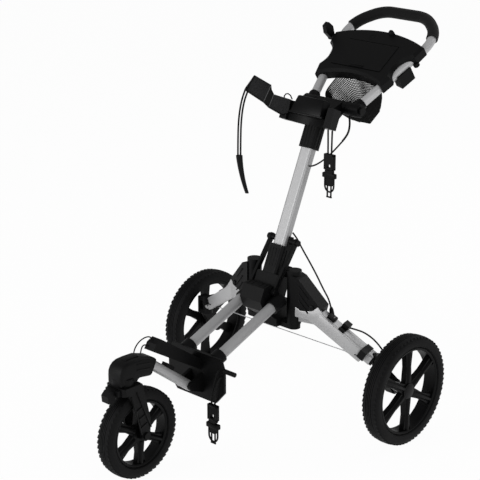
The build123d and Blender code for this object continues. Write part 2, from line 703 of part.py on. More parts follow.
def console_space():
    """Room that the console takes above the handle plane."""
    return Pos(0, 0, -CONSOLE_UNDER - RUN) * extrude(console_outline(0), amount=60)


def pouch_form(inset):
    """Form of the net bag under the handle, drawn in on all sides but the top."""
    top = Pos(0, 84, -HANDLE_RADIUS - 2 + inset) * Rectangle(140 - 2 * inset, 120 - 2 * inset)
    middle = Pos(0, 84, -70) * Rectangle(118 - 2 * inset, 100 - 2 * inset)
    low = Pos(0, 82, -122 + inset) * Rectangle(60 - 2 * inset, 44 - 2 * inset)
    return loft([top, middle, low])


def net_pouch():
    """Open net bag that hangs between the handle tubes under the console."""
    return HANDLE * (pouch_form(0) - pouch_form(NET_WALL))


def net_ring():
    """Cord ring at the low point of the net bag."""
    ring = Torus(13, 1.6)
    return HANDLE * Pos(0, 92, -136.6) * Rot(0, 90, 0) * ring


def strap():
    """Webbing strap from the left ear of the saddle to its folded tip."""
    route = [(-78, 26), (-104, 6), (-140, -22), (-168, -34)]
    back = [(x + 1.2, y + STRAP_THICK) for x, y in reversed(route)]
    outline = make_face(Polyline([(x, y, 0) for x, y in route + back], close=True))
    band = extrude(outline, amount=STRAP_WIDTH)
    return Pos(0, 0, 812) * band - bag_saddle()


STRAP_ROUTE = [
    (-196, -36, 664), (-196, -36, 704), (-194, -36, 760), (-184, -37, 810), (-169, -37.5, 846),
    (-161.4, -35.6, 858.5), (-162.4, -24.8, 858.5), (-169, -24, 846), (-184, -27, 808), (-190, -30, 758),
    (-189, -33, 702), (-189, -33, 664),
]
HOOK_ROUTE = [
    (68, 20, 770.4), (68.6, 20, 748), (69, 20, 724), (69, 20.1, 703), (75, 20.2, 697), (81, 20.1, 703),
    (81, 20, 724), (81.4, 20, 748), (82, 20, 770.4),
]
LOWER_ROUTE = [
    (84, -393.6, 240), (84, -403, 240), (76, -404, 210), (66, -404, 176), (64, -404, 142), (70, -404, 136),
    (76, -404, 142), (77, -404, 176), (83, -404, 204), (91, -403, 224), (91, -393.6, 224),
]


def strap_cord():
    """Elastic cord doubled over the strap's tip, with both ends in the pull tab."""
    return cord(STRAP_ROUTE, CORD_RADIUS)


def strap_pull():
    """Tapered pull tab at the end of the strap's cord."""
    x, y, z = STRAP_ROUTE[0]
    top = Pos(x + 3.5, y + 1.5, z) * Circle(9)
    middle = Pos(x + 12, y + 1.5, z - 46) * Circle(7)
    grip_end = Pos(x + 32, y + 1.5, z - 98) * Circle(5)
    return loft([grip_end, middle, top])


def hook_cord():
    """Elastic cord from the right ear of the saddle, doubled through its hook."""
    return cord(HOOK_ROUTE, CORD_RADIUS)


def hook_buckle(route, length):
    """Moulded hook on the bend of a doubled cord, with a wire bow at its lower end."""
    bend = route[len(route) // 2]
    x, y = bend[0], bend[1]
    top = bend[2] + 10
    body = block(x - 12, x + 12, y - 5, y + 5, top - length * 0.45, top)
    body -= block(x - 6, x + 6, y - 9, y + 9, top - length * 0.36, top - length * 0.22)
    body = fillet(body.edges().filter_by(Axis.Y), 2.5)
    body += block(x - 9, x + 9, y - 4, y + 4, top - length * 0.72, top - length * 0.44)
    low = top - length + 2.2
    high = top - length * 0.66
    for side in (-6, 6):
        body += upright(2.2, low, high, x + side, y)
    body += across(2.2, x - 8, x + 8, y, low)
    slot = CORD_RADIUS + GAP
    half = abs(route[len(route) // 2 - 1][0] - x) + slot
    return body - block(x - half, x + half, y - slot, y + slot, bend[2] - slot, top + 1)


def lower_cord():
    """Elastic cord from the cradle plate, doubled through the lower hook."""
    return cord(LOWER_ROUTE, CORD_RADIUS)


def arm_tube():
    """Oval aluminium tube from the cradle hinge to the elbow, slotted for its catch."""
    tail = -ARM_HEIGHT / 2
    tube = rounded_tube(ARM_WIDTH, ARM_HEIGHT, ARM_CORNER, ARM_WALL, tail, ARM_LENGTH)
    tube -= block(-ARM_SLOT_HALF, ARM_SLOT_HALF, 0, ARM_HEIGHT, ARM_SLOT_LOW, ARM_SLOT_HIGH)
    return ARM * (tube - across(ARM_PIN + RUN, -ARM_WIDTH, ARM_WIDTH))


def arm_catch():
    """Moulded block in the arm's slot that the catch holds."""
    half = ARM_SLOT_HALF - RUN
    return ARM * block(-half, half, 1, ARM_HEIGHT / 2 + 9, ARM_SLOT_LOW + RUN, ARM_SLOT_HIGH - RUN)


def elbow():
    """Casting between the front arm and the fork's swivel."""
    swivel = SWIVEL_Y
    low = ELBOW_BOTTOM
    rear = ARM_Y + ARM_LENGTH * cos(radians(ARM_RISE))
    profile = [
        (rear - 6, low + 4), (rear + 14, low + ELBOW_REAR), (rear - 31, low + ELBOW_TOP),
        (swivel - 2, low + ELBOW_TOP), (swivel - 26, low + ELBOW_REAR), (swivel - 26, low),
        (swivel + 24, low), (swivel + 34, low + 10),
    ]
    solid = side_plate(profile, -ELBOW_HALF, ELBOW_HALF)
    solid = fillet(solid.edges().filter_by(Axis.X).group_by(Axis.Z)[-1], ELBOW_ROUND)
    for face in (solid.faces().sort_by(Axis.X)[0], solid.faces().sort_by(Axis.X)[-1]):
        solid = chamfer([edge for edge in face.edges() if edge.center().Z > low + 1], ELBOW_EDGE)
    solid += upright(ELBOW_RADIUS, low, low + ELBOW_REAR - ELBOW_EDGE, 0, swivel)
    solid -= upright(STEM_RADIUS + RUN, low - 1, low + STEM_HEIGHT + 1, 0, swivel)
    room = rounded_bar(
        ARM_WIDTH + 2 * RUN, ARM_HEIGHT + 2 * RUN, ARM_CORNER + RUN, ARM_LENGTH / 2, ARM_LENGTH)
    return solid - ARM * room


def fork():
    """Swivelling fork with a crown, two cranked blades and a stem."""
    swivel = SWIVEL_Y
    top = ELBOW_BOTTOM - GAP
    low = top - CROWN_HEIGHT
    outer = FORK_IN + FORK_THICK
    solid = block(-outer, outer, swivel - 26, swivel + 34, low, top)
    solid = fillet(solid.edges().filter_by(Axis.Z), 10)
    blade = [
        (swivel - 22, top - 1), (swivel + 34, top - 1), (-WHEELBASE + 16, FRONT_RADIUS + 40),
        (-WHEELBASE + FORK_EYE, FRONT_RADIUS), (-WHEELBASE - FORK_EYE, FRONT_RADIUS),
        (-WHEELBASE - 22, FRONT_RADIUS + 60),
    ]
    for side in (-1, 1):
        x_low, x_high = sorted((side * FORK_IN, side * outer))
        solid += side_plate(blade, x_low, x_high)
        solid += across(FORK_EYE, x_low, x_high, -WHEELBASE, FRONT_RADIUS)
    solid += upright(STEM_RADIUS, top - 2, top + STEM_HEIGHT, 0, swivel)
    front = swivel - LOCK_AHEAD - 5
    for side in (-1, 1):
        x_low, x_high = sorted((side * LOCK_HALF, side * LOCK_LUG))
        lug = [(swivel - 20, top - 2), (front, top - 4), (front, top - 18), (swivel - 20, low)]
        solid += side_plate(lug, x_low, x_high)
    pivot = (swivel - LOCK_AHEAD, top - LOCK_DROP)
    solid -= across(LOCK_BOSS + 1, -LOCK_HALF, LOCK_HALF, *pivot)
    solid -= across(LOCK_PIN + RUN, -outer, outer, *pivot)
    return solid - across(FRONT_AXLE_RADIUS, -2 * outer, 2 * outer, -WHEELBASE, FRONT_RADIUS)


def fork_lock():
    """Lever at the front of the crown that locks the swivel, with a paddle that hangs ahead of the tyre."""
    y = SWIVEL_Y - LOCK_AHEAD
    z = ELBOW_BOTTOM - GAP - LOCK_DROP
    inner = LOCK_HALF - GAP
    paddle = [
        (y - 2, z + 7.5), (y, z - LOCK_BOSS), (y - 12, z - 30), (y - 26, z - 22), (y - 28, z - 4),
        (y - 18, z + 6),
    ]
    lever = across(LOCK_BOSS, -inner, inner, y, z) + side_plate(paddle, -inner, inner)
    return lever + across(LOCK_PIN, -LOCK_LUG, LOCK_LUG, y, z)


def leg_frame():
    """Frame along the right leg: local Z from the hub pin to the knuckle, local Y level."""
    axis = Vector(KNUCKLE_X - LEG_X, KNUCKLE_Y - LEG_Y, KNUCKLE_Z - LEG_Z)
    level = Vector(0, 0, 1).cross(axis)
    return Plane(origin=(LEG_X, LEG_Y, LEG_Z), x_dir=level, z_dir=axis), axis.length


def leg_strut(grow):
    """Level strut from the hub barrel to the underside of the leg, grown all round by a clearance."""
    heading = degrees(atan2(KNUCKLE_Y - LEG_Y, KNUCKLE_X - LEG_X))
    bar = rounded_bar(
        STRUT_HEIGHT + 2 * grow, STRUT_WIDTH + 2 * grow, 4 + grow, LEG_PIN + 8 - grow, STRUT_LENGTH)
    return Pos(LEG_X, LEG_Y, STRUT_Z) * Rot(0, 0, heading) * Rot(0, 90, 0) * bar


def knuckle_room():
    """Space at the leg's end in which the knuckle turns."""
    return upright(TIP_RADIUS + 1.5, KNUCKLE_Z - 60, KNUCKLE_Z + 80, KNUCKLE_X, KNUCKLE_Y)


def leg():
    """Aluminium leg with its welded strut."""
    place, length = leg_frame()
    low = LEG_ROOT
    high = length - TIP_RADIUS - 4
    inner = rounded_bar(
        LEG_WIDTH - 2 * LEG_WALL, LEG_HEIGHT - 2 * LEG_WALL, LEG_CORNER - LEG_WALL, low - 1, high + 1)
    solid = place * rounded_bar(LEG_WIDTH, LEG_HEIGHT, LEG_CORNER, low, high) + leg_strut(0)
    return solid - place * inner - knuckle_room()


def leg_casing():
    """Black casing round the leg's root, with the barrel that turns on the hub pin."""
    place, length = leg_frame()
    heading = degrees(atan2(KNUCKLE_Y - LEG_Y, KNUCKLE_X - LEG_X))
    outline = [
        (0, STRUT_Z + 20), (0, CASING_TOP - 6), (24, CASING_TOP - 16), (88, LEG_Z - 22), (78, LEG_Z - 62),
        (36, LEG_Z - 42),
    ]
    half = LEG_WIDTH / 2 + 4
    wall = Polyline([(x, -half, z) for x, z in outline], close=True)
    gusset = extrude(make_face(wall), amount=2 * half, dir=(0, 1, 0))
    gusset = fillet(gusset.edges().filter_by(Axis.Y).group_by(Axis.Z)[-1], 6)
    solid = Pos(LEG_X, LEG_Y, 0) * Rot(0, 0, heading) * gusset
    solid += upright(CASING_RADIUS, EAR_TOP + GAP, CASING_TOP, LEG_X, LEG_Y)
    solid -= upright(LEG_PIN + RUN, EAR_TOP - 1, LEG_PIN_TOP + 1, LEG_X, LEG_Y)
    grown = rounded_bar(
        LEG_WIDTH + 2 * RUN, LEG_HEIGHT + 2 * RUN, LEG_CORNER + RUN, LEG_ROOT - RUN, length)
    return solid - place * grown - leg_strut(RUN)


def leg_fittings():
    """Plug with the knuckle eye at the leg's end, and two cable clips on the leg."""
    place, length = leg_frame()
    inner = rounded_bar(
        LEG_WIDTH - 2 * LEG_WALL - 2 * RUN, LEG_HEIGHT - 2 * LEG_WALL - 2 * RUN, LEG_CORNER - LEG_WALL,
        length - 50, length - TIP_RADIUS + 2)
    half = LEG_HEIGHT / 2 - 2
    neck = block(0, KNUCKLE_X, -300, 300, KNUCKLE_Z - half, KNUCKLE_Z + half)
    plug = place * inner
    plug = (plug - knuckle_room()) + (plug & neck & knuckle_room())
    plug += upright(TIP_RADIUS, KNUCKLE_Z - half, KNUCKLE_Z + half, KNUCKLE_X, KNUCKLE_Y)
    plug = plug - upright(KNUCKLE_PIN + RUN, KNUCKLE_Z - 40, KNUCKLE_Z + 40, KNUCKLE_X, KNUCKLE_Y)
    clips = []
    for distance, x_reach, y_reach in ((150, 4, 13), (230, -13, 4)):
        band = rounded_bar(LEG_WIDTH + 6, LEG_HEIGHT + 6, LEG_CORNER + 3, distance, distance + 18)
        x_low, x_high = sorted((0, x_reach + (LEG_WIDTH / 2 if x_reach > 0 else -LEG_WIDTH / 2)))
        band += block(x_low, x_high, -6, LEG_HEIGHT / 2 + y_reach, distance, distance + 18)
        band -= rounded_bar(
            LEG_WIDTH + 2 * RUN, LEG_HEIGHT + 2 * RUN, LEG_CORNER + RUN, distance - 1, distance + 19)
        clips.append(place * band)
    return Compound(children=[plug] + clips)


def knuckle():
    """Black casting between the leg's eye and the wheel's axle."""
    half = LEG_HEIGHT / 2 - 2 + GAP
    face = KNUCKLE_X + KNUCKLE_DEPTH
    solid = None
    for side in (-1, 1):
        low, high = sorted((KNUCKLE_Z + side * half, KNUCKLE_Z + side * (half + CHEEK_THICK)))
        cheek = upright(TIP_RADIUS, low, high, KNUCKLE_X, KNUCKLE_Y)
        cheek += block(KNUCKLE_X, face, KNUCKLE_Y - TIP_RADIUS, KNUCKLE_Y + TIP_RADIUS, low, high)
        solid = cheek if solid is None else solid + cheek
    low = KNUCKLE_Z - half - CHEEK_THICK
    high = KNUCKLE_Z + half + CHEEK_THICK
    root = KNUCKLE_X + TIP_RADIUS + 2
    solid += block(root, face, KNUCKLE_Y - TIP_RADIUS, KNUCKLE_Y + TIP_RADIUS, low, high)
    arm = [
        (KNUCKLE_Y - TIP_RADIUS, low + CHEEK_THICK), (KNUCKLE_Y + TIP_RADIUS, low + CHEEK_THICK),
        (TIP_RADIUS + 4, REAR_RADIUS + 8), (TIP_RADIUS, REAR_RADIUS - TIP_RADIUS),
        (-TIP_RADIUS, REAR_RADIUS - TIP_RADIUS),
    ]
    solid += side_plate(arm, KNUCKLE_X + 6, face)
    solid += across(AXLE_BOSS, KNUCKLE_X + 2, face, 0, REAR_RADIUS)
    solid -= across(REAR_AXLE_RADIUS + RUN, KNUCKLE_X + 6, face + 6, 0, REAR_RADIUS)
    return solid - upright(KNUCKLE_PIN + RUN, low - 1, high + 1, KNUCKLE_X, KNUCKLE_Y)


def knuckle_pin():
    """Upright pin of the knuckle."""
    half = LEG_HEIGHT / 2 - 2 + GAP + CHEEK_THICK
    return upright(KNUCKLE_PIN, KNUCKLE_Z - half, KNUCKLE_Z + half, KNUCKLE_X, KNUCKLE_Y)


def cross_cable():
    """Thin steel cable between the two legs, with a sleeve at each end."""
    end = CROSS_HALF - SLEEVE_LENGTH
    cable = across(WIRE_RADIUS, -end, end, CROSS_Y, CROSS_Z)
    cable += across(SLEEVE_RADIUS, end, CROSS_HALF, CROSS_Y, CROSS_Z)
    return cable + across(SLEEVE_RADIUS, -CROSS_HALF, -end, CROSS_Y, CROSS_Z)


def brake_cable():
    """Brake cable from the mast to the clip on the right leg."""
    points = [(MAST_WIDTH / 2 + 3 * GAP, -57, 502), (27, -50, 490), (44, -47, 462), (68, -45, 432)]
    points += [(94, -46, 402), (120, -50, 372), (150, -55, 344), (166, -67.4, 320.2)]
    return cord(points, CABLE_RADIUS)


def wheel_cable():
    """Brake cable from the clip to the back of the right wheel's knuckle."""
    points = [(217.3, -55.6, 291.4), (232, -49, 289), (254, -40, 284), (280, -31, 268)]
    points += [(300, -20, 240), (312, -8, 212)]
    return cord(points, CABLE_RADIUS)


def handle_cable():
    """Brake cable from the handle into the side of the mast."""
    points = [(MAST_WIDTH / 2 + GAP, 6, 668), (30, 7, 669), (48, 26, 684), (63, 52, 708), (72, 82, 736)]
    return cord(points, CABLE_RADIUS)


def save(name, shape):
    """Write one node, moved from the rear axle line to the cart's own origin."""
    moved = Pos(0, AXLE_Y, 0) * shape
    moved.label = name
    export_step(moved, f"parts/{name}.step")


def main():
    """Build every node of the cart."""
    os.makedirs("parts", exist_ok=True)
    nodes = {
        "hub": hub(), "frame_pins": frame_pins(), "rails": rails(), "lower_bracket": lower_bracket(),
        "cradle_plate": cradle_plate(), "latch_block": latch_block(), "latch_cords": latch_cords(),
        "lower_cord": lower_cord(), "lower_hook": hook_buckle(LOWER_ROUTE, LOWER_HOOK),
        "cross_cable": cross_cable(),
        "mast_tube": mast_tube(), "mast_foot": mast_foot(), "mast_braces": mast_braces(),
        "brace_bolts": brace_bolts(), "bracket_head": bracket_head(), "bag_saddle": bag_saddle(),
        "handle_pin": handle_pin(), "strap": strap(), "strap_cord": strap_cord(), "strap_pull": strap_pull(),
        "hook_cord": hook_cord(), "hook_buckle": hook_buckle(HOOK_ROUTE, UPPER_HOOK),
        "brake_cable": brake_cable(),
        "handle_tube": handle_tube(), "handle_knuckles": handle_knuckles(), "grip": grip(),
        "console": console(),
        "accessory_socket": accessory_socket(), "net_pouch": net_pouch(), "net_ring": net_ring(),
        "handle_cable": handle_cable(), "card_flap": card_flap(), "brake_lever": brake_lever(),
        "arm_tube": arm_tube(), "arm_catch": arm_catch(), "elbow": elbow(), "fork": fork(),
        "fork_lock": fork_lock(), "wheel_cable": wheel_cable(),
    }
    nodes.update(front_wheel())
    right = {"leg": leg(), "leg_casing": leg_casing(), "leg_fittings": leg_fittings(), "knuckle": knuckle()}
    right["knuckle_pin"] = knuckle_pin()
    right.update(rear_wheel())
    for name, shape in right.items():
        nodes["right_" + name] = shape
        nodes["left_" + name] = mirror(shape, about=Plane.YZ)
    for name, shape in nodes.items():
        save(name, shape)
    print(len(nodes), "nodes")


main()
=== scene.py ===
"""Looks of a three-wheel folding golf push cart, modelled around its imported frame."""

import json
import logging
import math
from dataclasses import dataclass, field
from enum import Enum
from typing import Callable, Sequence

import bpy
from mathutils import Matrix, Vector

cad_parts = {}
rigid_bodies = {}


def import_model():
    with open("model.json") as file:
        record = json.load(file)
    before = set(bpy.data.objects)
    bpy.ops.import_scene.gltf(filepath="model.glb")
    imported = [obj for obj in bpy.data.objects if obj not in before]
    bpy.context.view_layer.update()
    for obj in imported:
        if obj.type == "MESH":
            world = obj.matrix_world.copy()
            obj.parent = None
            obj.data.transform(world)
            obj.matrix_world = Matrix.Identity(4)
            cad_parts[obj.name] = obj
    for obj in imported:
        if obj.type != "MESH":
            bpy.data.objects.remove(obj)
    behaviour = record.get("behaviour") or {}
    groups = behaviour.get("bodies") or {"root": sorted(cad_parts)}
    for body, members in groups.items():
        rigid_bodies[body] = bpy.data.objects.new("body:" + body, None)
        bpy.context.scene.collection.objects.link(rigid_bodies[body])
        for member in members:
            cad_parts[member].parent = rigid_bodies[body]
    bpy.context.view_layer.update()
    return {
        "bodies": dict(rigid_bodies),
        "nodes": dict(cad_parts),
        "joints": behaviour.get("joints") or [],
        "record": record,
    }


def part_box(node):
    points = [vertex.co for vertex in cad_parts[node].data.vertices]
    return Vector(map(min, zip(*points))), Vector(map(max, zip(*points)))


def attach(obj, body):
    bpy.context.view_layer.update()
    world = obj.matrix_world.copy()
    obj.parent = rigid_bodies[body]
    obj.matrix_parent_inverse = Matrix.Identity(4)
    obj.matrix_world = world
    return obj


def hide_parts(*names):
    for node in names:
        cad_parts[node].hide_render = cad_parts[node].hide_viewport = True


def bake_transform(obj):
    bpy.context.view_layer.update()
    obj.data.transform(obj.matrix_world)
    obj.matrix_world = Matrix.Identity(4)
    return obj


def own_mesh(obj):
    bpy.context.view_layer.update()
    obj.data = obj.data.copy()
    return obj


LOG = logging.getLogger("push_cart")
MM = 0.001
SIDES = ("left", "right")
WHITE = (1.0, 1.0, 1.0, 1.0)
CLOUD_SCALE = 14.0
CLOUD_DETAIL = 3.0
FINE_DETAIL = 2.0
RELIEF_DEPTH = 0.4 * MM
Piece = bpy.types.Object
Point = Sequence[float]
Colour = tuple[float, float, float]


class Grain(Enum):
    """Fine relief of a surface."""

    CAST = "cast"
    WOVEN = "woven"


def feed(tree: bpy.types.NodeTree, node: bpy.types.Node, inputs: dict[str | int, object]) -> None:
    """Link or set inputs of a shader node.

    Args:
        tree: the node tree.
        node: the node.
        inputs: what each input is given, a socket to link or a value.
    """
    for name, value in inputs.items():
        if isinstance(value, bpy.types.NodeSocket):
            tree.links.new(value, node.inputs[name])
        else:
            node.inputs[name].default_value = value


def add_node(tree: bpy.types.NodeTree, kind: str, inputs: dict[str | int, object],
             **settings: object) -> bpy.types.Node:
    """Add a shader node to a tree and feed its inputs.

    Args:
        tree: the node tree.
        kind: the node's type, without its common prefix.
        inputs: what each input is given, a socket to link or a value.
        settings: the node's own settings.

    Returns:
        The node.
    """
    node = tree.nodes.new("ShaderNode" + kind)
    for name, value in settings.items():
        setattr(node, name, value)
    feed(tree, node, inputs)
    return node


def surface_group(grain: Grain) -> bpy.types.NodeTree:
    """Shader group that varies colour and roughness over a surface and gives its fine relief.

    Args:
        grain: the kind of relief.

    Returns:
        The node group, made once.
    """
    name = "surface_" + grain.value
    if name in bpy.data.node_groups:
        return bpy.data.node_groups[name]
    tree = bpy.data.node_groups.new(name, "ShaderNodeTree")
    sockets = {
        "INPUT": {
            "Base": "Color", "Pale": "Color", "Mottle": "Float", "Rough": "Float", "Spread": "Float",
            "Scale": "Float", "Relief": "Float", "Turn": "Vector", "Stretch": "Vector",
        },
        "OUTPUT": {"Color": "Color", "Roughness": "Float", "Normal": "Vector"},
    }
    for direction, kinds in sockets.items():
        for label, kind in kinds.items():
            tree.interface.new_socket(name=label, in_out=direction, socket_type="NodeSocket" + kind)
    given = tree.nodes.new("NodeGroupInput").outputs
    where = add_node(tree, "TexCoord", {}).outputs["Object"]
    lined = add_node(tree, "Mapping", {"Vector": where, "Rotation": given["Turn"], "Scale": given["Stretch"]})
    cloud = add_node(tree, "TexNoise", {"Vector": where, "Scale": CLOUD_SCALE, "Detail": CLOUD_DETAIL})
    cloud = cloud.outputs["Fac"]
    fine = {"Vector": lined.outputs["Vector"], "Scale": given["Scale"]}
    if grain is Grain.CAST:
        height = add_node(tree, "TexNoise", {**fine, "Detail": FINE_DETAIL}).outputs["Fac"]
        blend = cloud
    else:
        height = add_node(tree, "TexVoronoi", fine, feature="DISTANCE_TO_EDGE").outputs["Distance"]
        blend = height
    share = add_node(tree, "Math", {0: blend, 1: given["Mottle"]}, operation="MULTIPLY")
    mixed = {"Factor": share.outputs["Value"], "A": given["Base"], "B": given["Pale"]}
    colour = add_node(tree, "Mix", mixed, data_type="RGBA")
    spread = {0: cloud, 1: given["Spread"], 2: given["Rough"]}
    rough = add_node(tree, "Math", spread, operation="MULTIPLY_ADD")
    bump = add_node(tree, "Bump", {"Distance": RELIEF_DEPTH, "Strength": given["Relief"], "Height": height})
    feed(tree, tree.nodes.new("NodeGroupOutput"), {
        "Color": colour.outputs["Result"], "Roughness": rough.outputs["Value"],
        "Normal": bump.outputs["Normal"],
    })
    return tree


@dataclass(frozen=True)
class Finish:
    """One surface finish of the cart, in linear colour values."""

    name: str
    slot: str
    base: Colour
    pale: Colour
    mottle: float = 0.5
    rough: float = 0.45
    spread: float = 0.12
    metallic: float = 0.0
    scale: float = 900.0
    relief: float = 0.25
    turn: tuple[float, float, float] = (0.0, 0.0, 0.0)
    stretch: tuple[float, float, float] = (1.0, 1.0, 1.0)
    grain: Grain = Grain.CAST
    specular: float = 0.5
    sheen: float = 0.0

    def material(self) -> bpy.types.Material:
        """Material of this finish, made once."""
        if self.name in bpy.data.materials:
            return bpy.data.materials[self.name]
        made = bpy.data.materials.new(self.name)
        made.use_nodes = True
        tree = made.node_tree
        texture = add_node(tree, "Group", {
            "Base": (*self.base, 1.0), "Pale": (*self.pale, 1.0), "Mottle": self.mottle, "Rough": self.rough,
            "Spread": self.spread, "Scale": self.scale, "Relief": self.relief, "Turn": self.turn,
            "Stretch": self.stretch,
        }, node_tree=surface_group(self.grain))
        feed(tree, tree.nodes["Principled BSDF"], {
            "Metallic": self.metallic, "Specular IOR Level": self.specular, "Sheen Weight": self.sheen,
            "Base Color": texture.outputs["Color"], "Roughness": texture.outputs["Roughness"],
            "Normal": texture.outputs["Normal"],
        })
        return made

    def dress(self, obj: Piece) -> Piece:
        """Give an object this finish alone."""
        obj.data.materials.clear()
        obj.data.materials.append(self.material())
        return obj


def tone(value: float, blue: float | None = None) -> Colour:
    """Grey in linear values, with its blue apart where that is given."""
    return (value, value, value if blue is None else blue)


def silver(name: str, lean: float, shade: float = 0.40) -> Finish:
    """Satin anodised aluminium with drawing lines along a tube.

    Args:
        name: the tube's name.
        lean: the tube's slope in the side plane, in degrees above level.
        shade: its darker shade, as a linear value.

    Returns:
        The finish.
    """
    return Finish(
        "silver_" + name, "silver", tone(shade, 1.01 * shade), tone(1.15 * shade, 1.16 * shade), rough=0.46,
        spread=0.06, metallic=0.55, scale=500.0, relief=0.02, specular=0.3,
        turn=(math.radians(-lean), 0.0, 0.0), stretch=(1.0, 0.04, 1.0))


BLACK = Finish(
    "black_moulding", "black_plastic", tone(0.0022, 0.0024), tone(0.0048, 0.005), rough=0.44, specular=0.11)
SATIN = Finish(
    "satin_moulding", "black_plastic", tone(0.002, 0.0022), tone(0.004, 0.0043), rough=0.34, scale=1400.0,
    relief=0.10, specular=0.13)
SPOKE = Finish(
    "wheel_moulding", "black_plastic", tone(0.0018, 0.002), tone(0.0036, 0.0038), rough=0.38, scale=700.0,
    relief=0.2, specular=0.09)
RUBBER = Finish(
    "tyre_rubber", "tyre", tone(0.003, 0.0032), tone(0.0064, 0.0068), rough=0.56, spread=0.2, scale=600.0,
    relief=0.35, specular=0.12)
FOAM = Finish(
    "grip_foam", "foam", tone(0.0038), tone(0.008), rough=0.72, scale=420.0, relief=0.5, sheen=0.05,
    specular=0.15)
STEEL = Finish(
    "plated_steel", "steel", tone(0.42, 0.43), tone(0.58, 0.59), rough=0.24, metallic=1.0, relief=0.05)
WEBBING = Finish(
    "honeycomb_webbing", "webbing", tone(0.015, 0.0155), tone(0.002, 0.0022), mottle=2.4, rough=0.75,
    scale=260.0, relief=0.8, grain=Grain.WOVEN, specular=0.15)
PIPING = Finish("webbing_edge", "webbing", tone(0.05, 0.052), tone(0.10, 0.102), rough=0.6)
NETTING = Finish("knitted_net", "net", tone(0.006), tone(0.014), rough=0.7, relief=0.1, specular=0.15)
BRAID = Finish(
    "braided_cord", "cord", tone(0.004), tone(0.011), rough=0.65, scale=1500.0, relief=0.7,
    grain=Grain.WOVEN, mottle=1.0, specular=0.15)
SHEATH = Finish("cable_sheath", "cable", tone(0.004), tone(0.007), rough=0.34, relief=0.05, specular=0.2)
TAPE = Finish(
    "cloth_tape", "net", tone(0.004), tone(0.009), rough=0.8, scale=1200.0, relief=0.6, specular=0.12)


def clear_selection() -> None:
    """Leave edit mode and deselect everything."""
    if bpy.context.object and bpy.context.object.mode != "OBJECT":
        bpy.ops.object.mode_set(mode="OBJECT")
    bpy.ops.object.select_all(action="DESELECT")


def pick(obj: Piece) -> None:
    """Make one object the only selected and active one."""
    clear_selection()
    obj.select_set(True)
    bpy.context.view_layer.objects.active = obj


def edit(obj: Piece, test: Callable[[Vector], bool]) -> None:
    """Enter edit mode with the points that pass a test selected.

    Args:
        obj: a mesh object.
        test: says whether a point is selected.
    """
    pick(obj)
    for part in (obj.data.polygons, obj.data.edges, obj.data.vertices):
        part.foreach_set("select", [False] * len(part))
    for point in obj.data.vertices:
        point.select = test(point.co)
    bpy.ops.object.mode_set(mode="EDIT")


def done() -> Piece:
    """Leave edit mode and return the edited object."""
    bpy.ops.object.mode_set(mode="OBJECT")
    return bpy.context.object


def modify(obj: Piece, kind: str, **settings: object) -> Piece:
    """Add a modifier to a mesh and apply it.

    Args:
        obj: the mesh object.
        kind: Blender's name for the modifier type.
        settings: the modifier's own settings.

    Returns:
        The same object.
    """
    pick(obj)
    modifier = obj.modifiers.new(kind, kind)
    for name, value in settings.items():
        setattr(modifier, name, value)
    bpy.ops.object.modifier_apply(modifier=modifier.name)
    return obj


def seat(obj: Piece, place: Matrix) -> Piece:
    """Move a mesh's own points by a frame, leaving its object at the origin.

    Args:
        obj: the mesh object.
        place: the frame that its points are given in.

    Returns:
        The same object.
    """
    obj.data.transform(place @ obj.matrix_basis)
    obj.matrix_basis = Matrix.Identity(4)
    if place.determinant() < 0:
        obj.data.flip_normals()
    return obj


def smooth(obj: Piece, angle: float = 35.0) -> Piece:
    """Shade an object smooth up to an angle in degrees."""
    pick(obj)
    bpy.ops.object.shade_smooth_by_angle(angle=math.radians(angle))
    return obj


def block(name: str, size: Point, bevel: float = 1.0, taper: Point = (1.0, 1.0)) -> Piece:
    """Bevelled block centred on the origin, drawn in towards its top.

    Args:
        name: the piece's name.
        size: its sizes in millimetres.
        bevel: the width of its bevelled edges in millimetres.
        taper: the top's share of the sizes along X and Y.

    Returns:
        The block.
    """
    clear_selection()
    bpy.ops.mesh.primitive_cube_add(size=1.0)
    obj = bpy.context.object
    obj.name = name
    seat(obj, Matrix.Diagonal((size[0] * MM, size[1] * MM, size[2] * MM, 1.0)))
    if tuple(taper) != (1.0, 1.0):
        edit(obj, lambda point: point.z > 0)
        centre = (0.0, 0.0, size[2] * MM / 2)
        bpy.ops.transform.resize(value=(taper[0], taper[1], 1.0), center_override=centre)
        done()
    return smooth(modify(obj, "BEVEL", width=bevel * MM, segments=2, limit_method="ANGLE"))


def trace(name: str, points: Sequence[Point], closed: bool) -> Piece:
    """Line of edges drawn from point to point, as by hand.

    Args:
        name: the piece's name.
        points: the points, in millimetres.
        closed: whether the last point is joined to the first.

    Returns:
        The line as a mesh.
    """
    clear_selection()
    bpy.ops.mesh.primitive_plane_add(size=0.01)
    obj = bpy.context.object
    obj.name = name
    bpy.ops.object.mode_set(mode="EDIT")
    bpy.ops.mesh.select_all(action="SELECT")
    bpy.ops.mesh.merge(type="CENTER")
    places = [Vector(point) * MM for point in points]
    bpy.ops.transform.translate(value=places[0])
    for before, after in zip(places, places[1:]):
        bpy.ops.mesh.extrude_vertices_move(TRANSFORM_OT_translate={"value": after - before})
    done()
    if closed:
        ends = (places[0], places[-1])
        edit(obj, lambda point: min((point - end).length for end in ends) < 1e-7)
        bpy.ops.mesh.edge_face_add()
        done()
    return obj


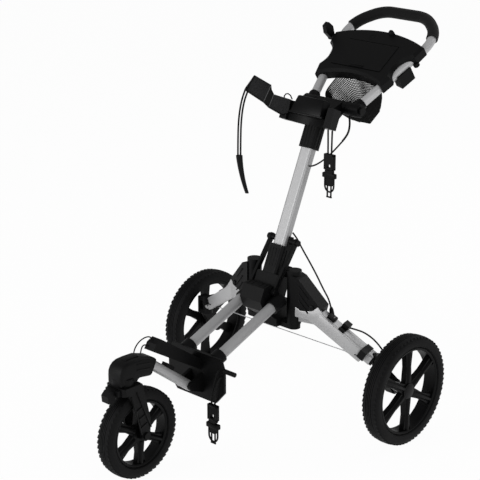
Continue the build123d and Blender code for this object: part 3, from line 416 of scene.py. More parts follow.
def turned(name: str, profile: Sequence[Point], steps: int = 96) -> Piece:
    """Piece spun round X from a closed or axis-ended profile.

    Args:
        name: the piece's name.
        profile: points as (along X, radius), in millimetres.
        steps: the number of facets round the axis.

    Returns:
        The turned piece.
    """
    closed = min(radius for _, radius in profile) > 0
    obj = trace(name, [(along, 0.0, radius) for along, radius in profile], closed)
    edit(obj, lambda point: True)
    bpy.ops.mesh.spin(steps=steps, angle=math.tau, center=(0, 0, 0), axis=(1, 0, 0))
    bpy.ops.mesh.select_all(action="SELECT")
    bpy.ops.mesh.remove_doubles(threshold=1e-6)
    bpy.ops.mesh.normals_make_consistent(inside=False)
    return smooth(done())


def plate(name: str, outline: Sequence[Point], thick: float, bevel: float, steps: int = 2) -> Piece:
    """Flat plate with an outline in its own XY plane, from Z zero upwards.

    Args:
        name: the piece's name.
        outline: corner points, in millimetres.
        thick: its thickness in millimetres.
        bevel: the width of its bevelled edges in millimetres.
        steps: the number of facets in each bevel.

    Returns:
        The plate.
    """
    obj = trace(name, [(x, y, 0.0) for x, y in outline], True)
    edit(obj, lambda point: True)
    bpy.ops.mesh.edge_face_add()
    bpy.ops.mesh.extrude_region_move(TRANSFORM_OT_translate={"value": (0, 0, thick * MM)})
    bpy.ops.mesh.select_all(action="SELECT")
    bpy.ops.mesh.normals_make_consistent(inside=False)
    return smooth(modify(done(), "BEVEL", width=bevel * MM, segments=steps, limit_method="ANGLE"))


def copies(obj: Piece, places: Sequence[Matrix]) -> Piece:
    """Join copies of a piece at several frames into that piece.

    Args:
        obj: the piece, modelled once at the origin.
        places: the frames of its copies.

    Returns:
        One object with all the copies.
    """
    made = []
    for place in places:
        copy = bpy.data.objects.new(obj.name, obj.data.copy())
        bpy.context.scene.collection.objects.link(copy)
        made.append(seat(copy, place))
    name = obj.name
    bpy.data.objects.remove(obj)
    return joined(name, made)


def joined(name: str, pieces: Sequence[Piece]) -> Piece:
    """Join several mesh objects into one named piece.

    Args:
        name: the piece's name.
        pieces: the objects, of which the first is kept.

    Returns:
        The piece.
    """
    pick(pieces[0])
    for piece in pieces:
        piece.select_set(True)
    bpy.ops.object.join()
    pieces[0].name = name
    return pieces[0]


def route(name: str, points: Sequence[Point], radius: float, kind: str = "NURBS", facets: int = 3,
          cyclic: bool = False) -> Piece:
    """Round cord on one curve, smooth through its control points or straight between them.

    Args:
        name: the piece's name.
        points: the control points, in metres.
        radius: the cord's radius in metres, or zero for a bare line.
        kind: NURBS for a smooth curve or POLY for straight chords.
        facets: how finely its section is rounded.
        cyclic: whether it closes on itself.

    Returns:
        The curve object.
    """
    data = bpy.data.curves.new(name, "CURVE")
    data.dimensions = "3D"
    spline = data.splines.new(kind)
    spline.points.add(len(points) - 1)
    for control, place in zip(spline.points, points):
        control.co = (*place, 1.0)
    spline.order_u = 3
    spline.use_endpoint_u = True
    spline.use_cyclic_u = cyclic
    spline.resolution_u = 8
    data.bevel_depth = radius
    data.bevel_resolution = facets
    data.use_fill_caps = not cyclic
    obj = bpy.data.objects.new(name, data)
    bpy.context.scene.collection.objects.link(obj)
    return obj


def line_of(points: Sequence[Point]) -> list[Vector]:
    """Points read from a route's smooth curve.

    Args:
        points: the route's control points, in metres.

    Returns:
        The points, in metres.
    """
    bare = route("route_line", points, 0.0)
    bpy.context.view_layer.update()
    mesh = bpy.data.meshes.new_from_object(bare)
    places = [point.co.copy() for point in mesh.vertices]
    bpy.data.objects.remove(bare)
    bpy.data.meshes.remove(mesh)
    return places


def as_mesh(obj: Piece) -> Piece:
    """Turn a curve object into a smooth mesh."""
    pick(obj)
    bpy.ops.object.convert(target="MESH")
    return smooth(bpy.context.object, 60.0)


def bent_bar(name: str, points: Sequence[Point], radius: float, cyclic: bool = False) -> Piece:
    """Round bar or ring along straight chords, in metres, as a mesh."""
    return as_mesh(route(name, points, radius, "POLY", 5, cyclic))


def turn(axis: str, degrees: float) -> Matrix:
    """Rotation about an axis by an angle in degrees."""
    return Matrix.Rotation(math.radians(degrees), 4, axis)


def shift(x: float, y: float, z: float) -> Matrix:
    """Move by a distance in millimetres."""
    return Matrix.Translation(Vector((x, y, z)) * MM)


def facing(direction: Vector) -> Matrix:
    """Rotation that points X along a direction and keeps Z upwards."""
    return direction.to_track_quat("X", "Z").to_matrix().to_4x4()


def side_frame(origin: Point, rise: float) -> Matrix:
    """Frame in the cart's side plane whose Z points some degrees above the rear.

    Args:
        origin: the frame's origin, in metres.
        rise: the angle of its Z axis above +Y, in degrees.

    Returns:
        The frame.
    """
    return Matrix.Translation(origin) @ turn("X", rise - 90.0)


@dataclass
class Cart:
    """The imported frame, with the places that the pieces are built from."""

    frame: dict
    mast_lean: float = 66.2
    handle_rise: float = 34.0
    rail_slope: float = 201.8
    arm_rise: float = 142.7
    leg_yaw: float = 14.4
    leg_lean: float = -32.0
    axle_y: float = field(init=False)
    pieces: list[str] = field(default_factory=list)

    def __post_init__(self) -> None:
        """Find the rear axle in the frame."""
        self.axle_y = self.joint("right_wheel_spin").y / MM

    def joint(self, name: str) -> Vector:
        """Place of a joint in metres."""
        found = [joint for joint in self.frame["joints"] if joint["name"] == name]
        return Vector(found[0]["pos_m"])

    def mast(self) -> Matrix:
        """Frame along the mast from its hinge, with Y to its back."""
        return side_frame(self.joint("mast_fold"), self.mast_lean)

    def handle(self) -> Matrix:
        """Frame of the handle from its hinge, with Y outwards and Z up through it."""
        return side_frame(self.joint("handle_fold"), self.handle_rise + 90.0)

    def leg(self, side: str) -> Matrix:
        """Frame of a rear leg at floor level under its hinge, with X outwards along the leg.

        Args:
            side: left or right.

        Returns:
            The frame, mirrored on the left.
        """
        pin = self.joint(side + "_leg_fold")
        outwards = 1.0 if side == "right" else -1.0
        mirrored = Matrix.Diagonal((outwards, 1.0, 1.0, 1.0))
        return Matrix.Translation((pin.x, pin.y, 0.0)) @ mirrored @ turn("Z", self.leg_yaw)

    def place(self, points: Sequence[Point]) -> list[Vector]:
        """Points given in millimetres from the rear axle line, in metres in the cart's frame."""
        return [Vector((x, y + self.axle_y, z)) * MM for x, y, z in points]

    def add(self, obj: Piece, finish: Finish, body: str, *replaced: str) -> Piece:
        """Dress a piece, ride it on a body and hide the nodes that it stands for.

        Args:
            obj: the piece.
            finish: its finish.
            body: the body that it moves with, or nothing where it spans two.
            replaced: the nodes that it stands for.

        Returns:
            The same piece.
        """
        finish.dress(obj)
        if body:
            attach(obj, body)
        if replaced:
            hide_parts(*replaced)
        self.pieces.append(obj.name)
        LOG.info("piece %s rides on %s", obj.name, body or "two bodies")
        return obj

    def paint(self, finish: Finish, *names: str) -> None:
        """Give nodes of the frame a finish."""
        for name in names:
            finish.dress(self.frame["nodes"][name])


@dataclass
class Wheel:
    """One wheel: its treaded tyre, ridged spokes, rim lip and cap."""

    cart: Cart
    name: str
    body: str
    outside: float
    tyre_height: float = 30.0
    tread_skin: float = 0.3
    crown_drop: float = 4.2
    fine_grooves: tuple[float, ...] = (-7.5, -2.5, 2.5, 7.5)
    groove_depth: float = 1.6
    lug_pitch: float = 14.0
    lug_share: float = 0.72
    lug_width: float = 7.6
    lug_height: float = 4.0
    lug_sink: float = 4.3
    lug_inset: float = 6.8
    lug_skew: float = 14.0
    mark_groups: int = 12
    mark_step: float = 6.6
    mark_width: float = 1.5
    mark_height: float = 2.0
    barrel: float = 7.0
    spokes: int = 6
    ridge_width: float = 15.0
    ridge_height: float = 5.0
    hub_radius: float = 23.0
    place: Matrix = field(init=False)
    radius: float = field(init=False)
    half: float = field(init=False)

    def __post_init__(self) -> None:
        """Find the wheel's centre, with X outwards, and its radius and half width in millimetres."""
        low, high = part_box(self.name + "_tyre")
        mirrored = Matrix.Diagonal((self.outside, 1.0, 1.0, 1.0))
        self.place = Matrix.Translation((low + high) / 2) @ mirrored
        self.radius = (high.z - low.z) / 2 / MM
        self.half = (high.x - low.x) / 2 / MM

    def crown(self, across: float) -> float:
        """Radius of the tread at a distance from its middle."""
        return self.radius - self.tread_skin - self.crown_drop * (across / self.half) ** 2

    def profile(self) -> list[Point]:
        """Closed section of the tyre as (across, radius)."""
        half = self.half
        bead = self.radius - self.tyre_height
        shoulder = half - 8.4
        side = [
            (half - 6.0, bead), (half - 1.6, bead + 3.0), (half - 0.2, bead + 11.0),
            (half - 0.9, bead + 20.0), (half - 2.6, bead + 24.0), (half - 4.6, bead + 25.6),
            (shoulder, self.crown(shoulder)),
        ]
        deep = self.groove_depth
        tread = []
        for across in self.fine_grooves:
            for step, depth in ((-1.0, 0.0), (-0.6, deep), (0.6, deep), (1.0, 0.0)):
                tread.append((across + step, self.crown(across) - depth))
        left = [(-across, height) for across, height in side]
        return left + tread + list(reversed(side))

    def around(self, count: int, radius: float, across: float, skew: float = 0.0,
               offset: float = 0.0) -> list[Matrix]:
        """Frames spaced round the tyre, with Z outwards and Y along the tread.

        Args:
            count: the number of frames.
            radius: their distance from the axle in millimetres.
            across: their distance from the tyre's middle in millimetres.
            skew: their turn about Z in degrees.
            offset: the share of a step that the first is moved on by.

        Returns:
            The frames.
        """
        places = []
        for number in range(count):
            angle = 360.0 * (number + offset) / count
            places.append(turn("X", angle) @ shift(across, 0.0, radius) @ turn("Z", skew))
        return places

    def tyre(self) -> Piece:
        """Tyre with fine grooves, shoulder lugs and groups of raised marks."""
        body = turned(self.name + "_tread", self.profile(), 120)
        count = round(math.tau * self.radius / self.lug_pitch)
        size = (self.lug_width, self.lug_pitch * self.lug_share, self.lug_height)
        lug = block("lug", size, 0.5, (0.86, 0.86))
        height = self.radius - self.lug_sink
        inset = self.half - self.lug_inset
        places = self.around(count, height, inset, self.lug_skew)
        places += self.around(count, height, -inset, -self.lug_skew, 0.5)
        pieces = [body, copies(lug, places), self.marks()]
        return seat(joined(self.name + "_tread", pieces), self.place)

    def marks(self) -> Piece:
        """Groups of three short ribs joined by a bar, on both shoulders."""
        rib = block("rib", (6.4, self.mark_width, self.mark_height), 0.3)
        bar = block("bar", (self.mark_width, 15.0, self.mark_height), 0.3)
        ribs = []
        bars = []
        for side in (-1.0, 1.0):
            spots = self.around(self.mark_groups, self.radius - 2.2, side * (self.half - 12.2))
            for step in (-self.mark_step, 0.0, self.mark_step):
                lead = turn("X", math.degrees(step / self.radius))
                ribs += [lead @ spot for spot in spots]
            bars += self.around(self.mark_groups, self.radius - 1.6, side * (self.half - 15.0))
        return joined("marks", [copies(rib, ribs), copies(bar, bars)])

    def ridges(self) -> Piece:
        """Raised ridge along the outer face of each spoke, and the rounded lip of the rim."""
        half = self.half
        seat_radius = self.radius - self.tyre_height
        inner = seat_radius - self.barrel
        face = half - 10.0
        length = inner - self.hub_radius + 4.0
        ridge = block("ridge", (length, self.ridge_width, self.ridge_height), 0.6, (0.97, 0.30))
        middle = shift(face + 2.0, 0.0, self.hub_radius + length / 2 - 2.0)
        places = []
        for number in range(self.spokes):
            spin = turn("X", 360.0 / self.spokes * number)
            places.append(spin @ middle @ turn("Y", 90.0))
        flutes = copies(ridge, places)
        section = [
            (face - 2.0, inner - 0.4), (half - 6.2, inner - 0.4), (half - 4.4, inner + 2.0),
            (half - 4.0, inner + 5.0), (half - 5.0, seat_radius - 0.2), (face - 2.0, seat_radius - 0.2),
        ]
        lip = turned("lip", section)
        return seat(joined(self.name + "_spoke_ridges", [flutes, lip]), self.place)

    def cap(self) -> Piece:
        """Domed hub cap with a stepped rim."""
        face = self.half - 9.0
        rim = self.hub_radius - 2.0
        section = [
            (face, 0.0), (face, rim), (face + 2.4, rim), (face + 3.2, rim - 1.0), (face + 3.2, rim - 3.0),
            (face + 4.0, rim - 3.6), (face + 5.4, rim - 8.0), (face + 6.0, 0.0),
        ]
        return seat(turned(self.name + "_cap", section, 64), self.place)

    def build(self) -> None:
        """Model and dress the wheel."""
        self.cart.add(self.tyre(), RUBBER, self.body, self.name + "_tyre")
        self.cart.add(self.ridges(), SPOKE, self.body)
        self.cart.paint(SPOKE, self.name + "_rim")
        cap_node = self.name + "_hub_cap"
        if cap_node in self.cart.frame["nodes"]:
            self.cart.add(self.cap(), SATIN, self.body, cap_node)


@dataclass
class Cords:
    """Elastic cords and cables, along the routes of the nodes that they stand for."""

    cart: Cart
    cord_radius: float = 2.4
    cable_radius: float = 2.2
    loop_radius: float = 1.6
    wire_radius: float = 1.2
    boot_radius: float = 2.7
    sleeve_radius: float = 2.6
    sleeve_length: float = 30.0
    bar_level: float = -46.0
    bow_radius: float = 2.4
    bow_half: float = 15.0
    bow_level: float = -73.0
    bow_drop: float = 17.0
    bow_steps: int = 12
    cross_half: float = 261.0
    cross_y: float = -80.0
    cross_z: float = 237.0
    strap_route: tuple[Point, ...] = (
        (-196, -36, 664), (-196, -36, 704), (-194, -36, 760), (-184, -37, 810), (-169, -37.5, 846),
        (-161.4, -35.6, 858.5), (-162.4, -24.8, 858.5), (-169, -24, 846), (-184, -27, 808),
        (-190, -30, 758), (-189, -33, 702), (-189, -33, 664))
    hook_route: tuple[Point, ...] = (
        (68, 20, 770.4), (68.6, 20, 748), (69, 20, 724), (69, 20.1, 703), (75, 20.2, 697), (81, 20.1, 703),
        (81, 20, 724), (81.4, 20, 748), (82, 20, 770.4))
    lower_route: tuple[Point, ...] = (
        (84, -393.6, 240), (84, -403, 240), (76, -404, 210), (66, -404, 176), (64, -404, 142),
        (70, -404, 136), (76, -404, 142), (77, -404, 176), (83, -404, 204), (91, -403, 224),
        (91, -393.6, 224))
    loop_route: tuple[Point, ...] = (
        (-6, -534.7, 338.5), (-8, -538.5, 347), (-15, -551, 347), (-24, -564, 336), (-30, -573, 318),
        (-31, -576, 299), (-31, -570, 285), (-31, -559, 284), (-31, -553, 297), (-26, -554, 314),
        (-16, -558, 327), (-8, -556, 331), (-6, -548.9, 326.3))
    brake_route: tuple[Point, ...] = (
        (19.9, -57, 502), (27, -50, 490), (44, -47, 462), (68, -45, 432), (94, -46, 402), (120, -50, 372),
        (150, -55, 344), (166, -67.4, 320.2))
    wheel_route: tuple[Point, ...] = (
        (217.3, -55.6, 291.4), (232, -49, 289), (254, -40, 284), (280, -31, 268), (300, -20, 240),
        (312, -8, 212))
    handle_route: tuple[Point, ...] = (
        (19.3, 6, 668), (30, 7, 669), (48, 26, 684), (63, 52, 708), (72, 82, 736))
    boot_route: tuple[Point, ...] = (
        (70, 75, 730), (73, 88, 742), (73, 97, 754), (68, 106, 768), (62, 112, 780), (58, 115, 792))

    def elastic(self, node: str, points: Sequence[Point], body: str,
                hook: str = "") -> None:
        """Free elastic cord that hangs doubled, with the piece on its bend or ends.

        Args:
            node: the cord's node.
            points: its route.
            body: the body that it rides on.
            hook: the name of the buckle and bow on that node, if it has them.
        """
        places = self.cart.place(points)
        cord = route(node + "_line", places, self.cord_radius * MM)
        self.cart.add(cord, BRAID, body, node)
        if hook:
            self.hook(hook, places[len(places) // 2], body)

    def loop(self) -> None:
        """Pull loop of the catch, which hangs beside the elbow."""
        places = self.cart.place(self.loop_route)
        loop = route("latch_loop", places, self.loop_radius * MM)
        self.cart.add(loop, BRAID, "chassis", "latch_cords")

    def hook(self, name: str, bend: Vector, body: str) -> Piece:
        """Ladder buckle, cross bar and wire bow on a hook.

        Args:
            name: the piece's name.
            bend: the bend of the hook's cord, in metres.
            body: the body that it rides on.

        Returns:
            The piece.
        """
        rail = block("rail", (5.0, 11.0, 42.0), 1.6)
        rails = copies(rail, [shift(side, 0.0, -10.0) for side in (-14.0, 14.0)])
        rung = block("rung", (33.0, 11.0, 6.0), 1.6)
        rungs = copies(rung, [shift(0.0, 0.0, rise) for rise in (8.0, -28.0)])
        bar = seat(block("bar", (42.0, 12.0, 14.0), 3.0), shift(0.0, 0.0, self.bar_level))
        bow = [(-self.bow_half, self.bar_level)]
        for step in range(self.bow_steps + 1):
            angle = math.pi * step / self.bow_steps
            bow.append((-self.bow_half * math.cos(angle), self.bow_level - self.bow_drop * math.sin(angle)))
        bow.append((self.bow_half, self.bar_level))
        wire = bent_bar("wire", [Vector((x, 0.0, z)) * MM for x, z in bow], self.bow_radius * MM)
        piece = joined(name, [rails, rungs, bar, wire])
        return self.cart.add(seat(piece, Matrix.Translation(bend)), BLACK, body)

    def cable(self, node: str, points: Sequence[Point], length: float,
              body: str) -> tuple[Piece, list[Vector]]:
        """Sheathed cable along its route.

        Args:
            node: the cable's node.
            points: its route.
            length: its real length in metres; not used.
            body: the body that it rides on, or nothing where it spans two.

        Returns:
            The cable, and its control points in metres.
        """
        places = self.cart.place(points)
        path = line_of(places)
        tube = as_mesh(route(node + "_sheath", places, self.cable_radius * MM))
        self.cart.add(tube, SHEATH, body, node)
        return tube, places

    def brake(self) -> None:
        """Brake cable on the right leg, with its ferrule and clip."""
        cable, places = self.cable("brake_cable", self.brake_route, 0.238, "right_rear_leg")
        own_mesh(cable)
        end = Matrix.Translation(places[-1])
        section = [(-18.0, 0.0), (-18.0, 2.8), (-12.0, 5.4), (4.0, 6.6), (6.0, 0.0)]
        ferrule = seat(turned("brake_ferrule", section, 24), end @ facing(places[-1] - places[-2]))
        lean = shift(11.0, -11.0, -6.0) @ turn("Z", self.cart.leg_yaw) @ turn("Y", -self.cart.leg_lean)
        clip = seat(block("clip", (24.0, 22.0, 13.0), 3.0), end @ lean)
        self.cart.add(joined("brake_ferrule", [ferrule, clip]), BLACK, "right_rear_leg")

    def wheel(self) -> None:
        """Cable from the right leg past the knuckle to its wheel, on no body."""
        cable, places = self.cable("wheel_cable", self.wheel_route, 0.14, "")
        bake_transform(cable)

    def handle(self) -> None:
        """Cable beside the mast's collar, with the boot that leads it into the hinge eye."""
        self.cable("handle_cable", self.handle_route, 0.12, "mast")
        line = line_of(self.cart.place(self.boot_route))
        self.cart.add(bent_bar("handle_cable_boot", line, self.boot_radius * MM), SHEATH, "mast")

    def cross(self) -> None:
        """Thin steel cable between the legs, with a black sleeve at each end."""
        end = self.cross_half - self.sleeve_length
        place = shift(0.0, self.cross_y + self.cart.axle_y, self.cross_z)
        thin = self.wire_radius
        thick = self.sleeve_radius
        wire = turned("cross_wire", [(-end, 0.0), (-end, thin), (end, thin), (end, 0.0)], 16)
        wire = self.cart.add(seat(wire, place), STEEL, "chassis", "cross_cable")
        section = [
            (end - 6.0, 0.0), (end - 6.0, thin + 0.3), (end, thick), (self.cross_half - 4.0, thick),
            (self.cross_half, thick - 0.6), (self.cross_half, 0.0)]
        sleeves = []
        for side in (-1.0, 1.0):
            outline = [(side * along, radius) for along, radius in section]
            sleeves.append(seat(turned("sleeve", outline, 24), place))
        sleeve = self.cart.add(joined("cross_sleeves", sleeves), SHEATH, "chassis")
        for piece in (wire, sleeve):
            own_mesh(piece)

    def build(self) -> None:
        """Model and dress every cord."""
        self.elastic("strap_cord", self.strap_route, "mast")
        self.elastic("hook_cord", self.hook_route, "mast", "upper_hook_bow")
        self.elastic("lower_cord", self.lower_route, "chassis", "lower_hook_bow")
        self.loop()
        self.brake()
        self.wheel()
        self.handle()
        self.cross()


@dataclass
class Handle:
    """Foam grip, hinge eyes, console fittings and the net bag under the handle."""

    cart: Cart
    half: float = 74.0
    splay: float = 150.0
    side: float = 290.0
    top: float = 356.0
    crown: float = 75.0
    bend: float = 88.0
    grip_radius: float = 15.6
    grip_start: float = 280.0
    grip_steps: int = 12
    eye_low: float = 52.4
    eye_high: float = 94.0
    eye_radius: float = 18.0
    net_middle: float = 84.0
    net_levels: tuple[Point, ...] = (
        (-14.0, 70.0, 60.0), (-42.0, 67.0, 57.0), (-70.0, 59.0, 50.0), (-98.0, 47.0, 38.0),
        (-116.0, 34.0, 26.0))
    net_cells: int = 100
    net_rows: int = 24
    net_squareness: float = 3.2
    net_sag: float = 0.03
    net_folds: float = 6.0
    strand: float = 3.5
    hem_radius: float = 1.6
    tape_radius: float = 3.4
    ring_radius: float = 13.0
    ring_wire: float = 1.5
    ring_middle: float = 92.0
    ring_level: float = -136.6
    folded_level: float = -4.0

    def bow(self) -> list[Vector]:
        """Middle line of the bow as straight runs joined by arcs, in the handle's frame in metres."""
        corners = [
            Vector((self.half, 0.0)), Vector((self.splay, self.side)), Vector((self.crown, self.top)),
            Vector((-self.crown, self.top)), Vector((-self.splay, self.side)), Vector((-self.half, 0.0)),
        ]
        line = [corners[0]]
        for before, corner, after in zip(corners, corners[1:], corners[2:]):
            into = (corner - before).normalized()
            out = (after - corner).normalized()
            angle = into.angle(out)
            reach = self.bend * math.tan(angle / 2)
            centre = corner + (out - into).normalized() * self.bend / math.cos(angle / 2)
            start = corner - into * reach - centre
            for step in range(self.grip_steps + 1):
                spin = Matrix.Rotation(angle * step / self.grip_steps, 2)
                line.append(centre + spin @ start)
        line.append(corners[-1])
        return [Vector((place.x, place.y, 0.0)) * MM for place in line]

    def grip(self) -> None:
        """Foam sleeve over the top of the bow, with rolled ends."""
        line = [place for place in self.bow() if place.y >= self.grip_start * MM]
        sleeve = bent_bar("foam_grip", line, self.grip_radius * MM)
        section = [(-2.6, 12.2), (-2.6, 14.4), (-1.4, 15.8), (1.4, 15.8), (3.0, 15.0), (3.0, 12.2)]
        rolls = []
        for end, inner in ((line[0], line[1]), (line[-1], line[-2])):
            place = Matrix.Translation(end) @ facing((inner - end).normalized())
            rolls.append(seat(turned("roll", section, 48), place))
        grip = seat(joined("foam_grip", [sleeve] + rolls), self.cart.handle())
        self.cart.add(grip, FOAM, "handle", "grip")

    def net_point(self, turned_by: float, level: float) -> Vector:
        """Point of the net bag.

        Args:
            turned_by: the share of a turn round the bag.
            level: the share of its depth.

        Returns:
            The point in the handle's frame, in metres.
        """
        levels = self.net_levels
        spot = level * (len(levels) - 1)
        number = min(int(spot), len(levels) - 2)
        share = spot - number
        low, high = levels[number], levels[number + 1]
        depth, across, along = (a + (b - a) * share for a, b in zip(low, high))
        angle = math.tau * turned_by
        power = self.net_squareness
        reach = (abs(math.cos(angle)) ** power + abs(math.sin(angle)) ** power) ** (-1.0 / power)
        x = across * reach * math.cos(angle)
        y = along * reach * math.sin(angle)
        sag = 1.0 + self.net_sag * math.sin(self.net_folds * angle) * math.sin(math.pi * level)
        return Vector((x * sag, self.net_middle + y * sag, depth)) * MM

    def net_web(self) -> Piece:
        """Knitted bag of crossing strands."""
        clear_selection()
        bpy.ops.mesh.primitive_grid_add(x_subdivisions=self.net_cells, y_subdivisions=self.net_rows, size=1.0)
        bag = bpy.context.object
        bag.name = "net_bag"
        for point in bag.data.vertices:
            point.co = self.net_point(point.co.x + 0.5, 0.5 - point.co.y)
        edit(bag, lambda point: True)
        bpy.ops.mesh.remove_doubles(threshold=1e-5)
        done()
        return modify(bag, "WIREFRAME", thickness=self.strand * MM, use_even_offset=False, use_replace=True)

    def net(self) -> None:
        """Net bag with its hem, tape, closed foot and pull ring."""
        place = self.cart.handle()
        bag = self.cart.add(seat(self.net_web(), place), NETTING, "handle", "net_pouch")
        hem_line = [self.net_point(step / 60, 0.0) for step in range(60)]
        hem = bent_bar("net_hem", hem_line, self.hem_radius * MM, True)
        tape_line = [self.net_point(0.75, step / 16) for step in range(17)]
        tape = bent_bar("net_tape", tape_line, self.tape_radius * MM)
        trim = joined("net_trim", [hem, tape, self.foot()])
        self.cart.add(seat(trim, place), TAPE, "handle")
        ring = bent_bar("net_pull_ring", self.ring_line(), self.ring_wire * MM, True)
        self.cart.add(seat(ring, place), BRAID, "handle", "net_ring")
        for piece in (bag, trim, ring):
            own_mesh(piece)

    def foot(self) -> Piece:
        """Closed cloth foot of the net bag."""
        depth, across, along = self.net_levels[-1]
        foot = block("net_foot", (2.0 * across, 2.0 * along, 10.0), 4.0)
        return seat(foot, shift(0.0, self.net_middle, depth))

    def ring_line(self) -> list[Vector]:
        """Round line of the pull ring under the net bag."""
        line = []
        for step in range(36):
            angle = math.tau * step / 36
            y = self.ring_middle + self.ring_radius * math.sin(angle)
            z = self.ring_level + self.ring_radius * math.cos(angle)
            line.append(Vector((0.0, y, z)) * MM)
        return line

    def eyes(self) -> None:
        """Short hinge eyes that hold the bow's two ends."""
        low, high, radius = self.eye_low, self.eye_high, self.eye_radius
        section = [
            (low, 0.0), (low, radius - 1.4), (low + 1.6, radius), (high - 2.0, radius), (high, radius - 1.4),
            (high, 0.0)]
        socket = turned("socket", [(0.0, 0.0), (0.0, 16.0), (24.0, 15.4), (28.0, 14.2), (28.0, 0.0)], 48)
        run = Vector((self.splay - self.half, self.side, 0.0))
        socket = seat(socket, shift(self.half, 0.0, 0.0) @ facing(run))
        eye = joined("handle_eyes", [turned("barrel", section, 48), socket])
        pair = copies(eye, [Matrix.Identity(4), Matrix.Diagonal((-1.0, 1.0, 1.0, 1.0))])
        self.cart.add(seat(pair, self.cart.handle()), BLACK, "handle", "handle_knuckles")

    def fittings(self) -> None:
        """Peg, knob, keyhole and socket frame of the console, and the raised edge of the flap."""
        upright = turn("Y", -90.0)
        section = [(0.0, 0.0), (0.0, 9.0), (14.0, 8.0), (20.0, 6.4), (23.0, 3.6), (24.0, 0.0)]
        peg = seat(turned("peg", section, 32), shift(30.0, 257.0, 12.0) @ upright)
        knob = turned("knob", [(0.0, 0.0), (0.0, 8.5), (9.0, 8.5), (11.0, 7.0), (11.6, 0.0)], 32)
        knob = seat(knob, shift(138.0, 196.0, -4.0) @ turn("Y", 75.0))
        keyhole = turned("keyhole", [(0.0, 6.0), (0.0, 10.5), (2.0, 9.6), (2.0, 6.8)], 40)
        keyhole = seat(keyhole, shift(-22.0, 236.0, 22.6) @ upright)
        frame = seat(block("frame", (22.0, 28.0, 4.0), 1.6), shift(112.0, 214.0, 20.0))
        pieces = joined("console_pegs", [peg, knob, keyhole, frame])
        self.cart.add(seat(pieces, self.cart.handle()), BLACK, "handle")
        lip = block("latch_lip", (46.0, 3.0, 2.4), 0.8)
        lips = copies(lip, [shift(0.0, 124.0 + 5.0 * step, 25.4) for step in range(2)])
        self.cart.add(seat(lips, self.cart.handle()), BLACK, "flap")

    def build(self) -> None:
        """Model and dress the handle."""
        self.grip()
        self.net()
        self.eyes()
        self.fittings()
        # The handle's silver is a lighter copy of the other tubes' silver (0.54 against 0.40), a painted
        # highlight for the light falling on its top.
        self.cart.paint(silver("handle", self.cart.handle_rise, 0.54), "handle_tube")
        self.cart.paint(BLACK, "console", "card_flap", "brake_lever", "accessory_socket")


@dataclass
class Strap:
    """Webbing strap in two sewn steps at the left of the saddle, drawn along its run and upwards."""

    cart: Cart
    start: Point = (-80.0, -1.0)
    stop: Point = (-166.0, -33.4)
    tip: tuple[Point, ...] = ((69.9, 884.3), (24.4, 863.2), (44.7, 818.1), (96.6, 845.6))
    panel: tuple[Point, ...] = ((24.4, 863.2), (23.0, 852.0), (16.3, 840.3), (30.2, 805.7), (44.7, 818.1))
    root: tuple[Point, ...] = ((16.3, 840.3), (-30.0, 831.0), (-24.0, 796.5), (-6.8, 789.3), (30.2, 805.7))
    loop: tuple[Point, ...] = (
        (-11.7, 832.0), (-12.0, 839.0), (-16.0, 844.5), (-22.2, 846.1), (-29.0, 842.0), (-34.0, 832.0))
    thick: float = 4.2
    hem: float = 2.6

    def place(self) -> Matrix:
        """Frame whose X runs along the strap and whose Y points up."""
        first, last = self.cart.place([(*self.start, 0.0), (*self.stop, 0.0)])
        along = (last - first).normalized()
        up = Vector((0.0, 0.0, 1.0))
        frame = Matrix((along, up, along.cross(up))).transposed().to_4x4()
        return Matrix.Translation(first) @ frame

    def seam(self, line: Sequence[Point], radius: float, proud: float) -> Piece:
        """Raised sewn edge along a line on the strap's front.

        Args:
            line: its points along the strap and upwards, in millimetres.
            radius: its radius in millimetres.
            proud: how far its middle stands in front of the strap, in millimetres.

        Returns:
            The seam.
        """
        return bent_bar("seam", [Vector((x, y, -proud)) * MM for x, y in line], radius * MM)

    def build(self) -> None:
        """Model and dress the strap."""
        tip, root = self.tip, self.root
        web = [plate("strap_tip", tip, self.thick, 1.4), plate("strap_root", root, self.thick, 1.4)]
        self.cart.add(seat(joined("strap_web", web), self.place()), WEBBING, "mast", "strap")
        dark = [
            plate("strap_panel", self.panel, self.thick - 0.8, 1.0),
            self.seam([tip[3], tip[2], root[4], root[3]], self.hem, -1.4),
            self.seam([tip[0], tip[1]], 1.6, -1.6),
            self.seam([tip[3], tip[0]], 3.4, -1.8),
            self.seam(self.loop, 1.6, -2.0),
        ]
        self.cart.add(seat(joined("strap_panel", dark), self.place()), TAPE, "mast")
        lines = ((tip[1], tip[2], 0.9), (root[0], root[4], 0.9), (tip[2], root[4], 0.7))
        edges = [self.seam([first, last], radius, 0.2) for first, last, radius in lines]
        self.cart.add(seat(joined("strap_edges", edges), self.place()), PIPING, "mast")
        self.cart.paint(SATIN, "strap_pull")


